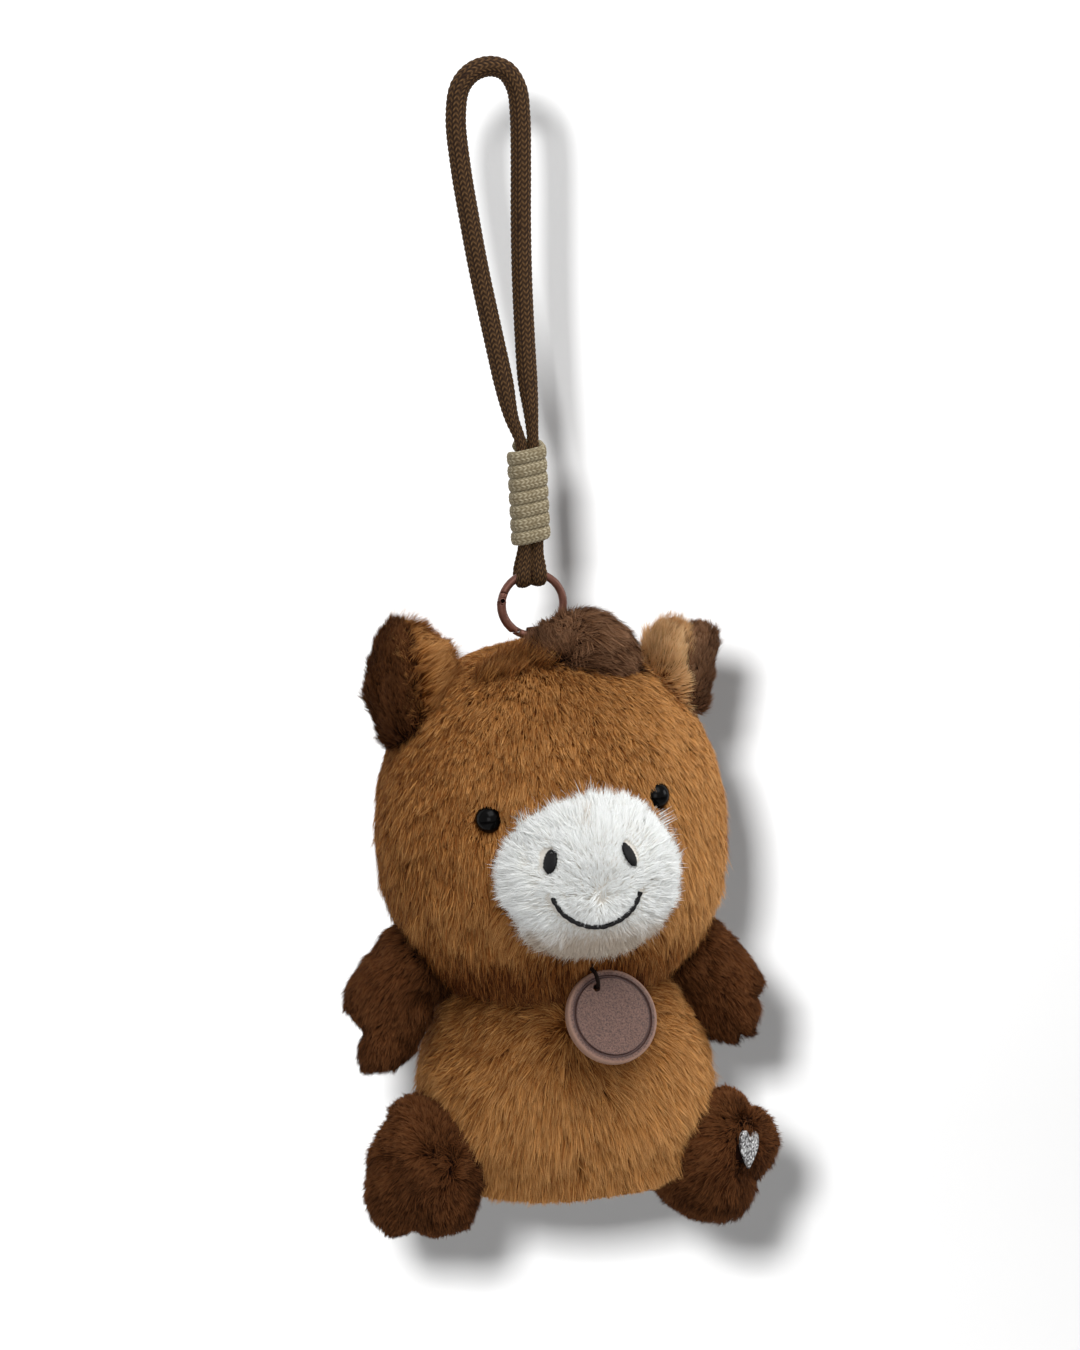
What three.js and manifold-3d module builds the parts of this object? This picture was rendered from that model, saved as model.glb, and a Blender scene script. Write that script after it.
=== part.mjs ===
// A plush pony bag charm that hangs by a braided wrist strap and a sprung ring.
// Millimetres, +Z up. The toy faces -Y, so its own left side is +X.
// The origin is the inside top of the strap's loop, where a hook or a finger holds it.

import * as THREE from 'three';
import { mergeVertices } from 'three/addons/utils/BufferGeometryUtils.js';
import Module from 'manifold-3d';

const wasm = await Module();
wasm.setup();

// Clearances
const SEW_GAP = 0.3; // a sewn or seated piece to what carries it
const GATE_GAP = 0.15; // running clearance in the ring's gate
const SIDES = [-1, 1]; // the toy's right side and its left side
const CUT_REACH = 80; // cutting blocks reach past the toy

// Heights, each measured from what carries it
const RING_CENTRE_Z = -145.1; // below the hook
const WHIPPING_RISE = 18; // its lowest turn above the ring's centre
const LOOP_RISE = 35.1; // the loop's foot above that turn

// Strap cord
const CORD_FREE_RADIUS = 2.7;
const CORD_BOUND_RADIUS = 1.5;
const BIGHT_HALF_THICKNESS = 0.9; // where it is squashed flat against the ring
const BIGHT_HALF_WIDTH = 2;
const CORD_SECTION_SIDES = 8;
const CORD_STEPS_PER_POINT = 2;
const WHIPPING_BOTTOM = RING_CENTRE_Z + WHIPPING_RISE; // middle of its lowest turn
const LOOP_BOTTOM = WHIPPING_BOTTOM + LOOP_RISE;
const CORD_SWELL_START = WHIPPING_BOTTOM + 27.1; // below this height the cord is bound tight
const CORD_SWELL_END = LOOP_BOTTOM + 12;
const CORD_SQUASH_START = WHIPPING_BOTTOM - 0.9;
const CORD_SQUASH_END = WHIPPING_BOTTOM - 6.9;
const STRAND_SPACING = 3.3; // between the four bound strands
const BIGHT_SPREAD = 2.3; // half the distance between the two bights on the ring
const BUNDLE_X = { top: 1.8, bottom: 1 }; // how far the bound strands lean off the ring's middle
const BIGHT_SLANT = 15; // its flat lies along the ring's curve
const BIGHT_TILT = 8; // each leans with the ring's curve

// Whipping
const WHIPPING_TURNS = 7;
const WHIPPING_PITCH = 3.72;
const WHIPPING_HALF_DEPTH = 0.9; // of its squashed cord, across the bundle
const WHIPPING_HALF_HEIGHT = 1.6; // of its squashed cord, along the bundle
const WHIPPING_SQUARENESS = 3.6;
const WHIPPING_STEPS = 20;
const WHIPPING_SECTION_SIDES = 6;

// Ring with a sprung gate
const RING_OUTER_RADIUS = 9.9;
const RING_WIRE_RADIUS = 1.15;
const GATE_WIRE_RADIUS = 1.3;
const GATE_PIN_ANGLE = 166;
const GATE_LOW_ANGLE = 239;
const LAP_ANGLE = 8; // how far ring and gate overlap at the latch
const KNUCKLE_RADIUS = 2.2;
const TONGUE_THICKNESS = 1.0;
const PIN_RADIUS = 0.45;
const PIN_HEAD_RADIUS = 0.85;
const PIN_HEAD_HEIGHT = 0.35;
const SPOTFACE_HALF_WIDTH = 1.15;
const SPRING_RADIUS = 0.45;
const SPRING_WIRE_RADIUS = 0.12;
const SPRING_CURLS = 4;
const SPRING_PITCH = 0.7;

// Hang tab
const TAB_WIDTH = 4;
const TAB_THICKNESS = 0.6;
const TAB_SLACK = 0.2; // lets the tab ride on the curved wire
const TAB_STEM = 2.4;
const TAB_ANCHOR_WIDTH = 6;
const TAB_ANCHOR_HEIGHT = 2;

// Heights of the toy
const CROWN_GAP = 3.4; // between the ring and the crown
const HEAD_HALF_HEIGHT = 47.5;
const HEAD_Z = RING_CENTRE_Z - RING_OUTER_RADIUS - CROWN_GAP - HEAD_HALF_HEIGHT;
const CROWN_Z = HEAD_Z + HEAD_HALF_HEIGHT;
const MUZZLE_DROP = 7.2; // its middle below the head's
const MUZZLE_Z = HEAD_Z - MUZZLE_DROP;
const BODY_DROP = 75.2; // its middle below the head's
const BODY_Z = HEAD_Z - BODY_DROP;
const BODY_BASE_DROP = 30.2; // its flat panel below its middle
const FORELOCK_DEPTH = 0.8; // its middle below the crown
const EAR_DEPTH = { right: 7.9, left: 13 }; // their middles below the crown
const STRING_DROP = 32.7; // where the tag's string comes out, below the head's middle

// Sewn forms: centre, half sizes, how full they are below and above their middle (below 1 is
// fuller than an ellipse) and their facets
const SKIN = 2.2; // plush backing and the dense foot of its pile
const LIMB_SKIN = 1.8;
const HEAD = { centre: [0.6, 2.2, HEAD_Z], half: [47.5, 43.5, HEAD_HALF_HEIGHT], swell: [0.5, 0.78], sides: 26, levels: 16 };
const BODY = { centre: [-1.1, 1.2, BODY_Z], half: [39.5, 36, 47], swell: [1.1, 1.35], sides: 26, levels: 13 };
const BODY_BASE_Z = BODY_Z - BODY_BASE_DROP;
const NECK_HOLE_RADIUS = 19;
const MUZZLE = { centre: [2.4, -36.8, MUZZLE_Z], half: [21.5, 24, 19], swell: [0.8, 0.8], sides: 20, levels: 12 };
const FORELOCK = { centre: [14.7, -7.8, CROWN_Z - FORELOCK_DEPTH], half: [14, 10.5, 11.2], swell: [0.9, 0.9], sides: 16, levels: 8 };
const FORELOCK_RING_ROOM = 1.0; // the tuft parts round the ring by this much

// Ears: each a caramel back and a dark lining, sewn edge to edge
const EAR = { half: [9.5, 12.5, 17.5], swell: [0.8, 0.8], sides: 14, levels: 8 };
const EAR_X = { right: 36.1, left: 40.4 };
const EAR_Y = 1.2;
const EAR_Z = { right: CROWN_Z - EAR_DEPTH.right, left: CROWN_Z - EAR_DEPTH.left };
const EAR_TURN = 86; // how far each lining looks away from the front
const EAR_LEAN = 5;

// Face
const FACE_X = 0.4; // its middle
const EYE_OUT = { right: 23.2, left: 24 }; // each eye from the face's middle
const EYE_RISE = { right: 17.2, left: 18 }; // above the muzzle's middle
const EYE_RADIUS = 3.9;
const EYE_SUNK = 0.22; // how much of its radius its middle lies below the surface
const EYE_STEM_RADIUS = 1.1;
const EYE_STEM_LENGTH = 7;
const WASHER_RADIUS = 4;
const WASHER_THICKNESS = 1;
const WASHER_DEPTH = 3.5; // below the head's surface, just inside its skin
const NOSTRIL_X = 10.5;
const NOSTRIL_Z = MUZZLE_Z + 8.5;
const NOSTRIL_HALF = [1.6, 0.9, 3.1];
const NOSTRIL_SLANT = -24; // their tops lean towards each other
const SMILE_X = 1.1; // its middle
const SMILE_RADIUS = 12.4;
const SMILE_CENTRE_Z = MUZZLE_Z + 2.9;
const SMILE_FROM = 196;
const SMILE_TO = 340;
const SMILE_THREAD_RADIUS = 0.55;

// Limbs: as on the toy's left and above the body's middle, with how far out, forward and up each side is sewn
const ARM_SPINE = [[27, -0.8, 33.8], [38, -1.8, 34.3], [47.5, -3.8, 30.3], [51, -6.3, 19.8], [50.5, -9.8, 7.8]];
const ARM_RADIUS = 11.2;
const ARM_SHIFT = { right: [1.1, 0, 3.7], left: [-3.6, 0, -2.8] };
const ARM_PIVOT = [33, -0.8, 29.8];
const ARM_SWING = [-30, -10, 10]; // degrees about X, forwards is negative
const LEG_HIP = [21, -1.8, -17.2];
const LEG_FOOT = [48.3, -20.3, -20.2];
const LEG_SHIFT = { right: [6.1, 0, 1.3], left: [0.2, 0, -7.4] };
const LEG_HIP_RADIUS = 11.5;
const LEG_FOOT_RADIUS = 16;
const LEG_HEIGHT_RATIO = 1.05; // how much taller than wide a leg is
const LEG_PIVOT = [30, -5.8, -17.2];
const LEG_SWING = [-12, 0, 12];
const HEART_HALF = 5.5;
const HEART_THICKNESS = 0.8;
const HEART_OFFSET = [-5.8, 4]; // from the sole's middle, along it and up

// Tuft of a tail and the mane's ridge
const MANE_HALF_WIDTH = 7;
const MANE_FROM = 72; // angles round the head's side view, from the back
const MANE_TO = -38;
const TAIL_SPINE = [[0, 32, BODY_Z - 15.2], [0, 39, BODY_Z - 20.2], [0, 42, BODY_Z - 29.2]];
const TAIL_RADIUS = 5.5;

// Round tag on its string
const TAG_RADIUS = 13.1;
const TAG_THICKNESS = 3;
const TAG_EDGE = 0.6;
const TAG_CENTRE = [5.6, -39.3, BODY_Z + 26.9];
const TAG_SPIN = 16; // brings its hole under the string
const TAG_TURN = 8; // its face looks a little to the toy's left
const TAG_TILT = 15; // and up, as it lies on the chest
const TAG_GROOVE_RADIUS = 11.2;
const TAG_GROOVE_WIDTH = 0.9;
const TAG_GROOVE_DEPTH = 0.5;
const TAG_HOLE_OFFSET = 8.8; // from its centre
const TAG_HOLE_RADIUS = 1.3;
const STRING_RADIUS = 0.55;
const STRING_TOP_X = 1.8;
const STRING_TOP_Z = HEAD_Z - STRING_DROP;

// Colours as [colour, roughness, metalness]
const FINISH = {
  strap: ['#4a2f1f', 0.85, 0],
  whipping: ['#beae91', 0.85, 0],
  metal: ['#5f372d', 0.45, 0.6],
  steel: ['#9a9a9c', 0.35, 1],
  tab: ['#4a2c1e', 0.9, 0],
  caramel: ['#96602f', 0.95, 0],
  dark: ['#46291b', 0.95, 0],
  white: ['#e6e6e0', 0.95, 0],
  black: ['#0b0a0a', 0.15, 0],
  thread: ['#14110f', 0.8, 0],
  stuffing: ['#eeeeee', 1, 0],
  washer: ['#dcdcd8', 0.5, 0],
  glitter: ['#c4c4c8', 0.3, 0.8],
  leather: ['#8c6452', 0.6, 0],
};

const group = new THREE.Group();

// Helpers

function radians(degrees) {
  return THREE.MathUtils.degToRad(degrees);
}

function toSolid(geometry) {
  const bare = geometry.clone();
  bare.deleteAttribute('normal');
  bare.deleteAttribute('uv');
  const merged = mergeVertices(bare, 1e-4);
  const vertProperties = new Float32Array(merged.attributes.position.array);
  const triVerts = new Uint32Array(merged.index.array);
  return new wasm.Manifold(new wasm.Mesh({ numProp: 3, vertProperties, triVerts }));
}

function toGeometry(solid) {
  const mesh = solid.getMesh();
  const geometry = new THREE.BufferGeometry();
  geometry.setAttribute('position', new THREE.BufferAttribute(mesh.vertProperties, 3));
  geometry.setIndex(new THREE.BufferAttribute(mesh.triVerts, 1));
  geometry.computeVertexNormals();
  return geometry;
}

function cut(solid, ...tools) {
  return tools.reduce((left, tool) => left.subtract(tool), solid);
}

function add(name, shape, finish, parent = group) {
  const geometry = shape.isBufferGeometry ? shape : toGeometry(shape);
  const [color, roughness, metalness] = FINISH[finish];
  const mesh = new THREE.Mesh(geometry, new THREE.MeshStandardMaterial({ color, roughness, metalness }));
  mesh.name = name;
  parent.add(mesh);
}

function middle(points) {
  return points.reduce((sum, point) => sum.add(point), new THREE.Vector3()).divideScalar(points.length);
}

// Joins rings of points into one closed body. Seen against the run of the rings, each turns anticlockwise.
function closedLoft(rings) {
  const sides = rings[0].length;
  const last = (rings.length - 1) * sides;
  const points = [...rings.flat(), middle(rings[0]), middle(rings.at(-1))];
  const index = [];
  for (let side = 0; side < sides; side++) {
    const next = (side + 1) % sides;
    for (let row = 0; row < last; row += sides) {
      index.push(row + side, row + next, row + sides + next);
      index.push(row + side, row + sides + next, row + sides + side);
    }
    index.push(points.length - 2, next, side);
    index.push(points.length - 1, last + side, last + next);
  }
  const geometry = new THREE.BufferGeometry().setFromPoints(points);
  geometry.setIndex(index);
  geometry.computeVertexNormals();
  return geometry;
}

// A form's hidden inside needs fewer facets
function coarser(shape) {
  return { ...shape, sides: shape.sides - 6, levels: shape.levels - 4 };
}

// How wide a plump form is at a height from -1 to 1, as a share of its half width
function fullness(shape, height) {
  const swell = shape.swell[height > 0 ? 1 : 0];
  return Math.max(1 - height * height, 0) ** (swell / 2);
}

// A sewn and stuffed form about an upright axis, with its rings closer together towards the poles
function plumpForm(shape, grow = 0) {
  const { centre = [0, 0, 0], half, sides, levels } = shape;
  const rings = [];
  for (let level = 1; level < levels; level++) {
    const share = level / levels;
    const height = -Math.cos(Math.PI * (share - 0.07 * Math.sin(2 * Math.PI * share)));
    const width = fullness(shape, height);
    const ring = [];
    for (let side = 0; side < sides; side++) {
      const angle = (2 * Math.PI * side) / sides;
      const x = centre[0] + (half[0] + grow) * width * Math.cos(angle);
      const y = centre[1] + (half[1] + grow) * width * Math.sin(angle);
      ring.push(new THREE.Vector3(x, y, centre[2] + (half[2] + grow) * height));
    }
    rings.push(ring);
  }
  return closedLoft(rings);
}

// The front of a plump form at x and z, and the way its surface faces there
function frontOf(shape, x, z) {
  const [cx, cy, cz] = shape.centre;
  const height = (z - cz) / shape.half[2];
  const width = fullness(shape, height);
  const across = (x - cx) / (shape.half[0] * width);
  return cy - shape.half[1] * width * Math.sqrt(Math.max(1 - across * across, 0));
}

function frontNormal(shape, x, z) {
  const step = 0.5;
  const slopeX = (frontOf(shape, x + step, z) - frontOf(shape, x - step, z)) / (2 * step);
  const slopeZ = (frontOf(shape, x, z + step) - frontOf(shape, x, z - step)) / (2 * step);
  return new THREE.Vector3(slopeX, -1, slopeZ).normalize();
}

// A round body swept along a curve, with a radius for each place along it
function sweptForm(curve, steps, sides, radiusAt) {
  const frames = curve.computeFrenetFrames(steps, false);
  const rings = [];
  for (let step = 0; step <= steps; step++) {
    const centre = curve.getPointAt(step / steps);
    const radius = radiusAt(step / steps);
    const ring = [];
    for (let side = 0; side < sides; side++) {
      const angle = (2 * Math.PI * side) / sides;
      const out = frames.normals[step].clone().multiplyScalar(radius * Math.cos(angle));
      out.addScaledVector(frames.binormals[step], radius * Math.sin(angle));
      ring.push(out.add(centre));
    }
    rings.push(ring);
  }
  return closedLoft(rings);
}

function curveThrough(points) {
  return new THREE.CatmullRomCurve3(points.map((point) => new THREE.Vector3(...point)), false, 'centripetal');
}

// A cylinder along Y at x and z of the ring's frame
function crossCylinder(radius, length, x = 0, z = 0, y = 0, segments = 20) {
  return toSolid(new THREE.CylinderGeometry(radius, radius, length, segments).translate(x, y, z));
}

function uprightCylinder(radius, low, high, x = 0, y = 0, segments = 24) {
  const geometry = new THREE.CylinderGeometry(radius, radius, high - low, segments).rotateX(Math.PI / 2);
  return toSolid(geometry.translate(x, y, (low + high) / 2));
}

function block(low, high) {
  const size = high.map((value, axis) => value - low[axis]);
  const geometry = new THREE.BoxGeometry(...size);
  return toSolid(geometry.translate(...low.map((value, axis) => value + size[axis] / 2)));
}

// Strap: one cord that goes up from the ring, round the wrist loop and back down to the ring

function strapCord() {
  const ringLine = RING_OUTER_RADIUS - RING_WIRE_RADIUS;
  const wireTop = RING_CENTRE_Z + Math.sqrt(ringLine ** 2 - BIGHT_SPREAD ** 2);
  const turn = RING_WIRE_RADIUS + SEW_GAP + BIGHT_HALF_THICKNESS + 0.25;
  const strand = STRAND_SPACING / 2;
  // A point of a bight, at an angle round the ring's wire from its back over its inside to its front
  const round = (side, angle) => {
    const drop = turn * Math.sin(radians(angle));
    const x = side * (BIGHT_SPREAD - drop * Math.sin(radians(BIGHT_TILT)));
    return [x, turn * Math.cos(radians(angle)), wireTop - drop * Math.cos(radians(BIGHT_TILT))];
  };
  const bound = (side, y, rise) => [bundleX(WHIPPING_BOTTOM + rise) + side * strand, y, WHIPPING_BOTTOM + rise];
  // The cord below the loop on one side: its hidden end, the bight round the ring and the front strand
  const bight = (side) => [
    bound(side, strand, 21.1), bound(side, strand, 10.1), bound(side, strand, 0.1),
    [side * strand + 0.4, 0.9 * turn, WHIPPING_BOTTOM - 4.9], round(side, 0), round(side, 45), round(side, 90),
    round(side, 135), round(side, 180), [side * strand + 0.4, -0.9 * turn, WHIPPING_BOTTOM - 4.9],
    bound(side, -strand, 0.1), bound(side, -strand, 10.1), bound(side, -strand, 20.1), bound(side, -strand, 27.1),
  ];
  // The wrist loop: across, forward and how far down it as a share of its length
  const loop = [
    [-2, -1.3, 1], [-3.3, -0.5, 0.891], [-5.2, 0, 0.739], [-7.4, 0, 0.565], [-8.9, 0, 0.413],
    [-10.2, 0, 0.25], [-10.4, 0, 0.109], [-8.6, 0, 0.024], [-4.9, 0, -0.017], [0, 0, CORD_FREE_RADIUS / LOOP_BOTTOM],
    [4.2, 0, -0.012], [6.8, 0, 0.039], [7.2, 0, 0.12], [6.4, 0, 0.261], [5.2, 0, 0.424], [4.3, 0, 0.587],
    [3.8, 0, 0.75], [3.5, -0.5, 0.891], [3.6, -1.3, 1],
  ].map(([x, y, share]) => [x, y, share * LOOP_BOTTOM]);
  const points = [...bight(-1), ...loop, ...bight(1).reverse()];
  const path = curveThrough(points);
  path.getUtoTmapping = (u) => u; // the rings follow the points, so they lie closer in the bights
  const section = new THREE.Shape(polygon(CORD_BOUND_RADIUS, CORD_SECTION_SIDES));
  const steps = CORD_STEPS_PER_POINT * (points.length - 1);
  const geometry = new THREE.ExtrudeGeometry(section, { steps, extrudePath: path, bevelEnabled: false });
  return swollen(geometry, path, steps);
}

// The middle of the bound strands at a height
function bundleX(z) {
  return THREE.MathUtils.mapLinear(z, CORD_SQUASH_START, CORD_SWELL_START, BUNDLE_X.bottom, BUNDLE_X.top);
}

function polygon(radius, sides) {
  return Array.from({ length: sides }, (_, side) => {
    const angle = (2 * Math.PI * (side + 0.5)) / sides;
    return new THREE.Vector2(radius * Math.cos(angle), radius * Math.sin(angle));
  });
}

// The cord fattens from its bound radius to its free one where the whipping lets it go
function swollen(geometry, path, steps) {
  const centres = path.getSpacedPoints(steps);
  const frames = path.computeFrenetFrames(steps, false);
  const position = geometry.attributes.position;
  const vertex = new THREE.Vector3();
  for (let i = 0; i < position.count; i++) {
    vertex.fromBufferAttribute(position, i);
    let best = 0;
    let least = Infinity;
    centres.forEach((centre, step) => {
      const out = vertex.clone().sub(centre);
      const offPlane = Math.abs(out.dot(frames.tangents[step]));
      if (out.length() < 1.01 * CORD_BOUND_RADIUS && offPlane < least) {
        least = offPlane;
        best = step;
      }
    });
    const centre = centres[best];
    const freed = THREE.MathUtils.smoothstep(centre.z, CORD_SWELL_START, CORD_SWELL_END);
    const squashed = 1 - THREE.MathUtils.smoothstep(centre.z, CORD_SQUASH_END, CORD_SQUASH_START);
    const free = THREE.MathUtils.lerp(CORD_BOUND_RADIUS, CORD_FREE_RADIUS, freed);
    const across = THREE.MathUtils.lerp(free, BIGHT_HALF_WIDTH, squashed) / CORD_BOUND_RADIUS;
    const through = THREE.MathUtils.lerp(free, BIGHT_HALF_THICKNESS, squashed) / CORD_BOUND_RADIUS;
    vertex.sub(centre).multiply(new THREE.Vector3(across, through, through));
    vertex.z -= squashed * Math.sign(centre.x) * Math.tan(radians(BIGHT_SLANT)) * vertex.x;
    vertex.add(centre);
    position.setXYZ(i, vertex.x, vertex.y, vertex.z);
  }
  return geometry;
}

// The whipping's path at an angle in turns: a rounded square round the four strands
function whippingPoint(turns) {
  const reach = STRAND_SPACING / 2 + CORD_BOUND_RADIUS + SEW_GAP + WHIPPING_HALF_DEPTH;
  const angle = 2 * Math.PI * turns + Math.PI / 2;
  const square = Math.abs(Math.cos(angle)) ** WHIPPING_SQUARENESS + Math.abs(Math.sin(angle)) ** WHIPPING_SQUARENESS;
  const radius = reach / square ** (1 / WHIPPING_SQUARENESS);
  const z = WHIPPING_BOTTOM + WHIPPING_PITCH * turns;
  return new THREE.Vector3(bundleX(z) + radius * Math.cos(angle), radius * Math.sin(angle), z);
}

function whipping() {
  const up = new THREE.Vector3(0, 0, 1);
  const centres = [];
  for (let step = 0; step <= WHIPPING_TURNS * WHIPPING_STEPS; step++) {
    centres.push(whippingPoint(step / WHIPPING_STEPS));
  }
  // Each end runs on straight for one diameter of the cord
  const straight = 2 * WHIPPING_HALF_HEIGHT;
  const startRun = centres[0].clone().sub(centres[1]).setZ(0).setLength(straight);
  const endRun = centres.at(-1).clone().sub(centres.at(-2)).setZ(0).setLength(straight);
  centres.unshift(centres[0].clone().add(startRun));
  centres.push(centres.at(-1).clone().add(endRun));
  const rings = centres.map((centre, i) => {
    const along = centres[Math.min(i + 1, centres.length - 1)].clone().sub(centres[Math.max(i - 1, 0)]);
    const out = along.clone().cross(up).normalize();
    const down = along.clone().normalize().cross(out);
    const ring = [];
    for (let side = 0; side < WHIPPING_SECTION_SIDES; side++) {
      const angle = (2 * Math.PI * side) / WHIPPING_SECTION_SIDES;
      const point = centre.clone().addScaledVector(out, WHIPPING_HALF_DEPTH * Math.cos(angle));
      ring.push(point.addScaledVector(down, WHIPPING_HALF_HEIGHT * Math.sin(angle)));
    }
    return ring;
  });
  console.log(`whipping: least gap between turns ${leastSelfGap(rings, WHIPPING_STEPS / 2).toFixed(2)} mm`);
  return closedLoft(rings);
}

// The least distance between points of rings that are more than `apart` rings from each other
function leastSelfGap(rings, apart) {
  let least = Infinity;
  for (let first = 0; first < rings.length; first++) {
    for (let second = first + apart; second < rings.length; second++) {
      if (rings[first][0].distanceTo(rings[second][0]) > least + 5) continue;
      for (const a of rings[first]) for (const b of rings[second]) least = Math.min(least, a.distanceTo(b));
    }
  }
  return least;
}

// Ring: in its own frame the ring lies in the XZ plane about its centre

const RING_LINE = RING_OUTER_RADIUS - RING_WIRE_RADIUS;
const PIN_X = RING_LINE * Math.cos(radians(GATE_PIN_ANGLE));
const PIN_Z = RING_LINE * Math.sin(radians(GATE_PIN_ANGLE));

class RingArc extends THREE.Curve {
  constructor(from, to) {
    super();
    this.from = radians(from);
    this.to = radians(to);
  }

  getPoint(t) {
    const angle = THREE.MathUtils.lerp(this.from, this.to, t);
    return new THREE.Vector3(RING_LINE * Math.cos(angle), 0, RING_LINE * Math.sin(angle));
  }
}

function wireArc(from, to, radius, degreesPerStep = 9) {
  const steps = Math.max(2, Math.round(Math.abs(to - from) / degreesPerStep));
  return toSolid(sweptForm(new RingArc(from, to), steps, 10, () => radius));
}

// Everything further than a radius from the ring's axis, as far as the ring reaches
function outside(radius) {
  const reach = 2 * RING_OUTER_RADIUS;
  return crossCylinder(reach, reach, 0, 0, 0, 48).subtract(crossCylinder(radius, 2 * reach, 0, 0, 0, 96));
}

function ringBody() {
  const wire = wireArc(GATE_LOW_ANGLE - 360 + 1, GATE_PIN_ANGLE, RING_WIRE_RADIUS);
  const room = KNUCKLE_RADIUS + GATE_GAP;
  const cheekDepth = 2 * RING_WIRE_RADIUS;
  const cheekY = TONGUE_THICKNESS / 2 + cheekDepth / 2;
  const cheeks = SIDES.map((side) => crossCylinder(room, cheekDepth, PIN_X, PIN_Z, side * cheekY));
  const tongueEnd = crossCylinder(RING_WIRE_RADIUS, TONGUE_THICKNESS, PIN_X, PIN_Z);
  const pinHole = crossCylinder(PIN_RADIUS + GATE_GAP, 4, PIN_X, PIN_Z);
  const lip = wireArc(GATE_LOW_ANGLE - 360 - LAP_ANGLE, GATE_LOW_ANGLE - 360 + 2, RING_WIRE_RADIUS, 2);
  const outerLip = lip.intersect(outside(RING_LINE + GATE_GAP / 2));
  return cut(cut(wire, ...cheeks).add(tongueEnd), pinHole).add(outerLip);
}

function springBore(radius, from, to) {
  return toSolid(sweptForm(new RingArc(from, to), 4, 8, () => radius));
}

const SPRING_START_ANGLE = GATE_PIN_ANGLE + 12;
const SPRING_LENGTH = SPRING_CURLS * SPRING_PITCH;
const SPRING_END_ANGLE = SPRING_START_ANGLE + THREE.MathUtils.radToDeg((SPRING_LENGTH + 0.8) / RING_LINE);

function ringGate() {
  const lower = wireArc(GATE_PIN_ANGLE, GATE_LOW_ANGLE, GATE_WIRE_RADIUS);
  const knuckle = crossCylinder(KNUCKLE_RADIUS, 2 * GATE_WIRE_RADIUS, PIN_X, PIN_Z);
  const upper = wireArc(GATE_PIN_ANGLE - 22, GATE_PIN_ANGLE + 1, GATE_WIRE_RADIUS).intersect(knuckle);
  const slotHalf = TONGUE_THICKNESS / 2 + GATE_GAP;
  const slot = crossCylinder(KNUCKLE_RADIUS + 1, 2 * slotHalf, PIN_X, PIN_Z);
  const aboveSlot = slot.subtract(wireArc(GATE_PIN_ANGLE, GATE_PIN_ANGLE + 40, GATE_WIRE_RADIUS + 0.5));
  const tongueRoom = crossCylinder(RING_WIRE_RADIUS + GATE_GAP, 2 * slotHalf, PIN_X, PIN_Z);
  const pinHole = crossCylinder(PIN_RADIUS + GATE_GAP, 4, PIN_X, PIN_Z);
  const spotfaces = SIDES.map((side) => {
    const y = side * (SPOTFACE_HALF_WIDTH + 1);
    return crossCylinder(PIN_HEAD_RADIUS + GATE_GAP, 2, PIN_X, PIN_Z, y);
  });
  const lap = wireArc(GATE_LOW_ANGLE - 2 * LAP_ANGLE, GATE_LOW_ANGLE + 1, GATE_WIRE_RADIUS + 0.5, 2);
  const lapReach = gateReach(RING_LINE + GATE_GAP / 2, GATE_LOW_ANGLE - LAP_ANGLE);
  const lapRoom = cut(lap.intersect(outside(RING_LINE - GATE_GAP / 2)), swingCylinder(lapReach));
  const bore = springBore(SPRING_RADIUS + SPRING_WIRE_RADIUS + GATE_GAP, GATE_PIN_ANGLE + 5, SPRING_END_ANGLE);
  const swing = swingCylinder(gateReach(RING_LINE - RING_WIRE_RADIUS, GATE_LOW_ANGLE + 1));
  return cut(lower.add(upper), aboveSlot, tongueRoom, pinHole, ...spotfaces, lapRoom, bore).intersect(swing);
}

function swingCylinder(radius) {
  return crossCylinder(radius, 8, PIN_X, PIN_Z, 0, 64);
}

// The gate's ends are rounded about its pin, so that each swings past a corner of the ring at this radius and angle
function gateReach(radius, angle) {
  const x = radius * Math.cos(radians(angle));
  const z = radius * Math.sin(radians(angle));
  return Math.hypot(x - PIN_X, z - PIN_Z) - GATE_GAP;
}

function gatePin() {
  const seat = SPOTFACE_HALF_WIDTH + GATE_GAP;
  const end = seat + PIN_HEAD_HEIGHT;
  const dimple = PIN_HEAD_HEIGHT / 2;
  const half = [[PIN_RADIUS, seat], [PIN_HEAD_RADIUS, seat], [PIN_HEAD_RADIUS, end - 0.1],
    [PIN_HEAD_RADIUS - 0.15, end], [PIN_RADIUS, end], [PIN_RADIUS - 0.1, end - dimple]];
  const outline = [[0, dimple - end], ...half.toReversed().map(([x, y]) => [x, -y]), ...half, [0, end - dimple]];
  const geometry = new THREE.LatheGeometry(outline.map(([x, y]) => new THREE.Vector2(x, y)), 12);
  return geometry.translate(PIN_X, 0, PIN_Z);
}

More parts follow.
